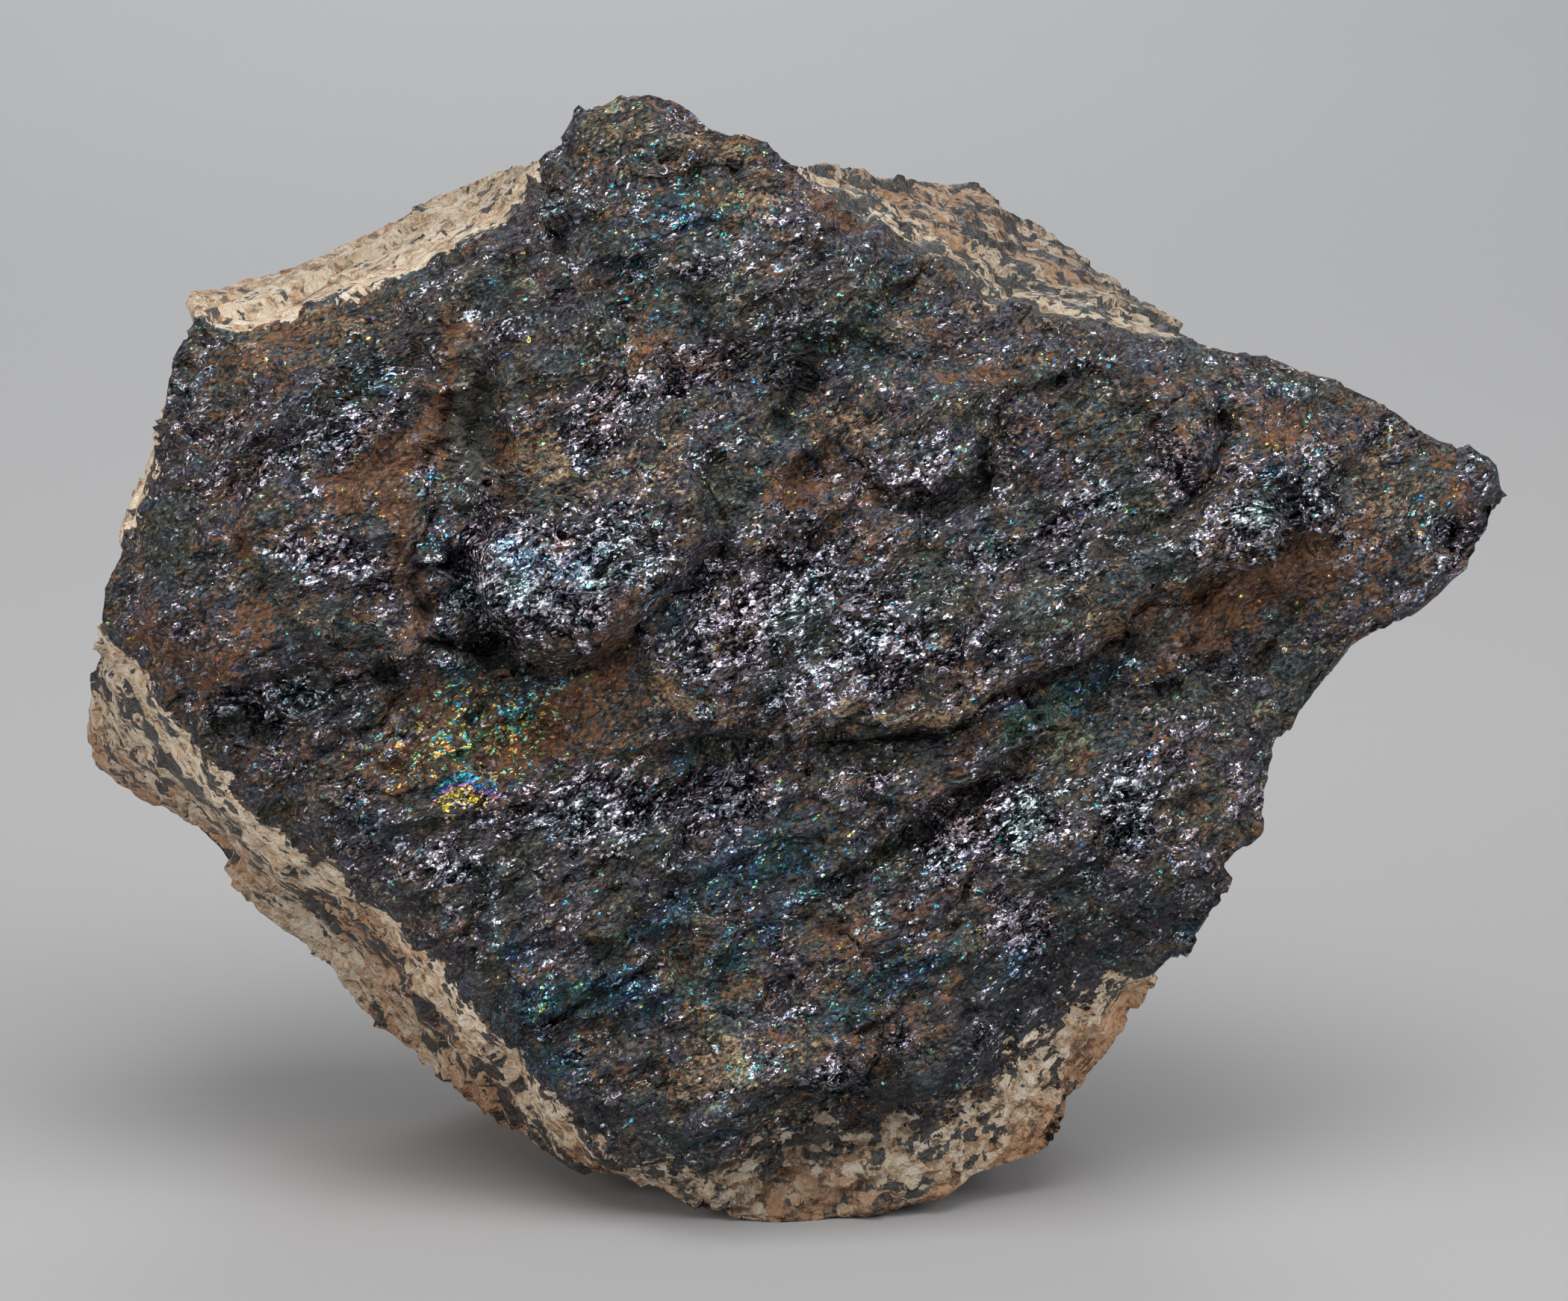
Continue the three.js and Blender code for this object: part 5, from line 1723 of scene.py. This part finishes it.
@dataclass(frozen=True)
class GneissFinish:
    """Banded gneiss: cream feldspar and grey quartz with dark grains and iron stains.

    Sizes are in millimetres, but `bump_depth` is in metres. From `shorten` on, each pair of
    numbers holds at mottle 0, where the grains lie in streaks, and at mottle 1, where they lie in
    clumps.
    """

    pale: Stops = (
        (0.00, (0.17, 0.115, 0.075)),
        (0.25, (0.42, 0.305, 0.195)),
        (0.52, (0.60, 0.465, 0.315)),
        (0.85, (0.68, 0.59, 0.475)),
    )
    stained: Stops = (
        (0.00, (0.09, 0.040, 0.022)),
        (0.30, (0.28, 0.125, 0.055)),
        (0.70, (0.46, 0.24, 0.11)),
    )
    dark: Colour = (0.024, 0.027, 0.030)
    grain: float = 0.9
    sugar: float = 0.36
    wobble: Grit = Grit(1.3, 3.0, 0.68)
    mottling: Grit = Grit(0.7, 2.0, 0.65)
    cluster: Grit = Grit(2.6, 3.0, 0.62)
    staining: Grit = Grit(16.0, 2.0)
    bend: Triple = (0.8, 0.8, 0.8)
    banded_to: float = 26.0
    bump_depth: float = 0.0013
    dark_from: Pair = (1.26, 1.34)
    stain_from: Pair = (1.15, 1.6)
    contact: Pair = (-4.0, -1.0)
    freckle_from: float = 0.93
    roughness: Pair = (0.6, 0.4)
    shorten: Pair = (0.48, 0.5)
    banding: Pair = (0.9, 0.7)
    clumping: Pair = (2.2, 1.65)
    scatter: Pair = (-0.45, -0.85)
    grain_tone: Pair = (0.62, 0.7)
    least_tone: Pair = (0.27, 0.15)
    sugar_tone: Pair = (0.55, 0.75)

    def banded(self, nodes: Nodes, aligned: Out, depth: Out, mottle: Out) -> Out:
        """Lays coordinates along the bands.

        The band runs with the depth under the ore, up to a limit, and with the place through the
        stone, so that the bands follow the contact near it and lie flat at the back.

        Args:
            nodes: the material's writer.
            aligned: coordinates in millimetres, X along the rock's fabric and Y into the stone.
            depth: how far inside the ore a place is, below 0 in the gneiss.
            mottle: from streaks at 0 to clumps at 1.

        Returns:
            The coordinates: along, across and over the bands.
        """
        place = nodes.parts(aligned)
        shorten = nodes.lerp(mottle, *self.shorten)
        band = nodes.times(nodes.larger(depth, -self.banded_to), -0.6)
        band = nodes.times(nodes.linear(place[1], 0.45, band), nodes.lerp(mottle, *self.banding))
        along, over = nodes.times(place[0], shorten), nodes.times(place[2], shorten)
        return nodes.add("CombineXYZ", {0: along, 1: band, 2: over}).outputs[0]

    def build(self, nodes: Nodes, aligned: Out, normal: Out) -> Surface:
        """Builds the gneiss.

        Args:
            nodes: the material's writer.
            aligned: coordinates in millimetres, X along the rock's fabric and Y into the stone.
            normal: the surface's normal.

        Returns:
            The gneiss's colour, roughness, metalness and normal.
        """
        depth, mottle = nodes.attribute("ore_depth"), nodes.attribute("mottle")
        banded = self.banded(nodes, aligned, depth, mottle)
        wobble = nodes.noise(aligned, self.wobble)
        bent = nodes.vector("MULTIPLY_ADD", wobble["Color"], self.bend, banded)
        grain = nodes.parts(nodes.cells(bent, self.grain).outputs["Color"])
        sugar = nodes.parts(nodes.cells(bent, self.sugar).outputs["Color"])
        mottling = nodes.noises(banded, self.mottling)
        clusters = nodes.noise(banded, self.cluster)[0]
        broad = nodes.noise(aligned, self.staining)[0]

        crowd = nodes.linear(mottle, 0.3, nodes.attribute("dark_share"))
        crowd = nodes.linear(nodes.between(depth, *self.contact), 0.18, crowd)
        crowd = nodes.linear(clusters, nodes.lerp(mottle, *self.clumping), crowd)
        crowd = nodes.swing(mottling[1], 0.8, crowd)
        crowd = nodes.linear(grain[0], nodes.lerp(mottle, *self.scatter), crowd)
        dark = nodes.between(crowd, *self.dark_from)

        tone = nodes.linear(
            grain[2], nodes.lerp(mottle, *self.grain_tone), nodes.lerp(mottle, *self.least_tone)
        )
        tone = nodes.swing(mottling[0], 1.2, tone)
        tone = nodes.swing(sugar[0], nodes.lerp(mottle, *self.sugar_tone), tone)
        stain = nodes.linear(broad, 1.6, nodes.attribute("stain"))
        stain = nodes.linear(grain[1], 0.45, stain)
        freckle = nodes.math("GREATER_THAN", sugar[1], self.freckle_from)
        stain = nodes.linear(freckle, 0.45, stain)
        stain = nodes.times(nodes.between(stain, *self.stain_from), 0.85)
        colour = nodes.blend(stain, nodes.ramp(tone, self.pale), nodes.ramp(tone, self.stained))
        # Painted light and shade: the colour is scaled by a brightness gain for each side of the stone.
        colour = nodes.scaled(colour, nodes.attribute("painted_light_gain"))
        colour = nodes.blend(nodes.times(dark, nodes.lerp(sugar[2], 0.99, 0.88)), colour, self.dark)
        bump = nodes.bump(wobble[0], 0.8, self.bump_depth, normal)
        return Surface(colour, nodes.lerp(dark, *self.roughness), 0.0, bump)


@dataclass(frozen=True)
class StoneFinish:
    """The stone's one material: ore where the face is, gneiss past a ragged edge."""

    ore: OreFinish = OreFinish()
    gneiss: GneissFinish = GneissFinish()
    fabric_deg: float = Stone.fabric_deg
    lean_deg: float = Stone.lean_deg
    tatter: Grit = Grit(2.4, 4.0, 0.6)
    reach: Pair = (6.0, 26.0)
    edge_softness: float = 0.15

    def edge(self, nodes: Nodes, aligned: Out) -> Out:
        """Where the ore is: where the depth inside it, stirred by a noise, is above 0.

        Args:
            nodes: the material's writer.
            aligned: coordinates in millimetres, X along the rock's fabric.

        Returns:
            The share of ore.
        """
        tatters = nodes.noise(aligned, self.tatter)[0]
        reach = nodes.lerp(nodes.attribute("mottle"), *self.reach)
        edge = nodes.swing(tatters, reach, nodes.attribute("ore_depth"))
        return nodes.between(edge, -self.edge_softness, self.edge_softness)

    def build(self) -> bpy.types.Material:
        """Builds the material.

        Returns:
            The material, which reads Object coordinates and the stone's attributes.
        """
        material = bpy.data.materials.new("tarnished_ore_on_gneiss")
        material.use_nodes = True
        nodes = Nodes(material.node_tree)
        shader = material.node_tree.nodes["Principled BSDF"]
        aligned = nodes.add(
            "Mapping",
            {
                "Vector": nodes.add("TexCoord").outputs["Object"],
                "Rotation": (math.radians(self.lean_deg), math.radians(self.fabric_deg), 0),
                "Scale": (1 / MM, 1 / MM, 1 / MM),
            },
        ).outputs[0]
        normal = nodes.add("NewGeometry").outputs["Normal"]
        ore = self.ore.build(nodes, aligned, normal)
        gneiss = self.gneiss.build(nodes, aligned, normal)
        edge = self.edge(nodes, aligned)
        chosen = nodes.add("Mix", {0: edge, 4: gneiss.normal, 5: ore.normal}, data_type="VECTOR")
        for name, value in (
            ("Base Color", nodes.blend(edge, gneiss.colour, ore.colour)),
            ("Roughness", nodes.lerp(edge, gneiss.roughness, ore.roughness)),
            ("Metallic", nodes.times(edge, ore.metallic)),
            ("Normal", nodes.vector("NORMALIZE", chosen.outputs[1])),
        ):
            nodes.feed(shader.inputs[name], value)
        return material


# The studio -------------------------------------------------------------------------------------


@dataclass(frozen=True)
class SoftBox:
    """A square soft light: where it stands, what it looks at, its side, its power and colour."""

    name: str
    place: Triple
    aim: Triple
    side: float
    power: float
    colour: Colour = (1.0, 1.0, 1.0)

    def build(self) -> None:
        """Adds the light."""
        data = bpy.data.lights.new(self.name, "AREA")
        data.shape = "SQUARE"
        data.size = self.side
        data.energy = self.power
        data.color = self.colour
        light = bpy.data.objects.new(self.name, data)
        light.location = self.place
        light.rotation_euler = (Vector(self.aim) - Vector(self.place)).to_track_quat("-Z", "Y").to_euler()
        bpy.context.scene.collection.objects.link(light)


@dataclass
class Studio:
    """A pale sweep of floor and wall, soft lights and the camera."""

    lens: float = 121.5
    distance: float = 0.6
    aim: Pair = (1.69, 65.1)
    floor_half_width: float = 3.0
    floor_front: float = -2.0
    floor_back: float = 1.2
    bend_radius: float = 0.8
    wall_height: float = 3.0
    bend_steps: int = 25
    floor_roughness: float = 0.7
    sight: float = 20.0
    floor_colour: Colour = (0.36, 0.355, 0.355)
    world_colour: Colour = (0.80, 0.81, 0.83)
    world_strength: float = 0.38
    lights: tuple[SoftBox, ...] = (
        SoftBox("top_box", (0.05, -0.3, 1.1), (0, 0, 0.05), 0.9, 11.0),
        SoftBox("left_box", (-1.1, -0.75, 0.52), (0, 0, 0.06), 0.7, 6.9, (1.0, 0.98, 0.96)),
        SoftBox("right_box", (1.1, -0.6, 0.8), (0, 0, 0.06), 0.7, 7.9, (0.96, 0.98, 1.0)),
        SoftBox("back_box", (-0.1, 1.35, 0.9), (-0.1, 1.35, 0.0), 0.8, 8.6, (0.92, 0.96, 1.0)),
    )

    def sweep(self) -> bpy.types.Object:
        """Builds the sweep: a floor profile that bends up into a wall, carried along X.

        Returns:
            The sweep.
        """
        turn = np.linspace(0, math.pi / 2, self.bend_steps)
        y = np.concatenate([[self.floor_front], self.floor_back + self.bend_radius * np.sin(turn)])
        z = np.concatenate([[0.0], self.bend_radius * (1 - np.cos(turn))])
        y = np.append(y, y[-1])
        z = np.append(z, self.wall_height)
        x = np.array([-self.floor_half_width, self.floor_half_width])
        points = np.stack([np.repeat(x, len(y)), np.tile(y, 2), np.tile(z, 2)], axis=1)
        low = np.arange(len(y) - 1)
        quads = np.stack([low, low + len(y), low + len(y) + 1, low + 1], axis=1)
        mesh = bpy.data.meshes.new("studio_sweep")
        mesh.from_pydata(points.tolist(), [], quads.tolist())
        mesh.shade_smooth()
        sweep = bpy.data.objects.new("studio_sweep", mesh)
        material = bpy.data.materials.new("pale_sweep")
        material.use_nodes = True
        shader = material.node_tree.nodes["Principled BSDF"]
        shader.inputs["Base Color"].default_value = (*self.floor_colour, 1)
        shader.inputs["Roughness"].default_value = self.floor_roughness
        mesh.materials.append(material)
        bpy.context.scene.collection.objects.link(sweep)
        return sweep

    def camera(self, stone: Stone) -> bpy.types.Object:
        """Sets the camera square to the leaning face, `distance` in front of it.

        Args:
            stone: gives the lean and the rest point.

        Returns:
            The camera.
        """
        lean = math.radians(stone.lean_deg)
        right = Vector((1, 0, 0))
        up = Vector((0, math.sin(lean), math.cos(lean)))
        out = Vector((0, -math.cos(lean), math.sin(lean)))
        rest = Vector((stone.rest_at[0], stone.rest_at[1], -stone.raised)) * MM
        data = bpy.data.cameras.new("studio_camera")
        data.lens = self.lens
        data.clip_end = self.sight
        camera = bpy.data.objects.new("studio_camera", data)
        camera.matrix_world = Matrix((right, up, out)).transposed().to_4x4()
        aim = right * self.aim[0] * MM + up * self.aim[1] * MM
        camera.location = aim + out * self.distance - rest
        bpy.context.scene.collection.objects.link(camera)
        bpy.context.scene.camera = camera
        return camera

    def build(self, stone: Stone) -> None:
        """Builds the camera, the sweep, the lights and the even light of the room.

        Args:
            stone: gives the lean and the rest point.
        """
        self.camera(stone)
        self.sweep()
        for light in self.lights:
            light.build()
        world = bpy.data.worlds.new("studio_world")
        world.use_nodes = True
        background = world.node_tree.nodes["Background"]
        background.inputs["Color"].default_value = (*self.world_colour, 1)
        background.inputs["Strength"].default_value = self.world_strength
        bpy.context.scene.world = world
        bpy.context.scene.view_settings.view_transform = "Standard"
        log.info("studio: %d lights", len(self.lights))


def main() -> None:
    """Builds the studio and the stone in order."""
    logging.basicConfig(level=logging.INFO)
    stone = Stone()
    Studio().build(stone)
    tilted_grains_group()
    ragged_mask_group()
    piece = stone.build()
    piece.data.materials.append(StoneFinish().build())
    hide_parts("peacock_ore")
    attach(piece, "root")


if __name__ == "__main__":
    main()
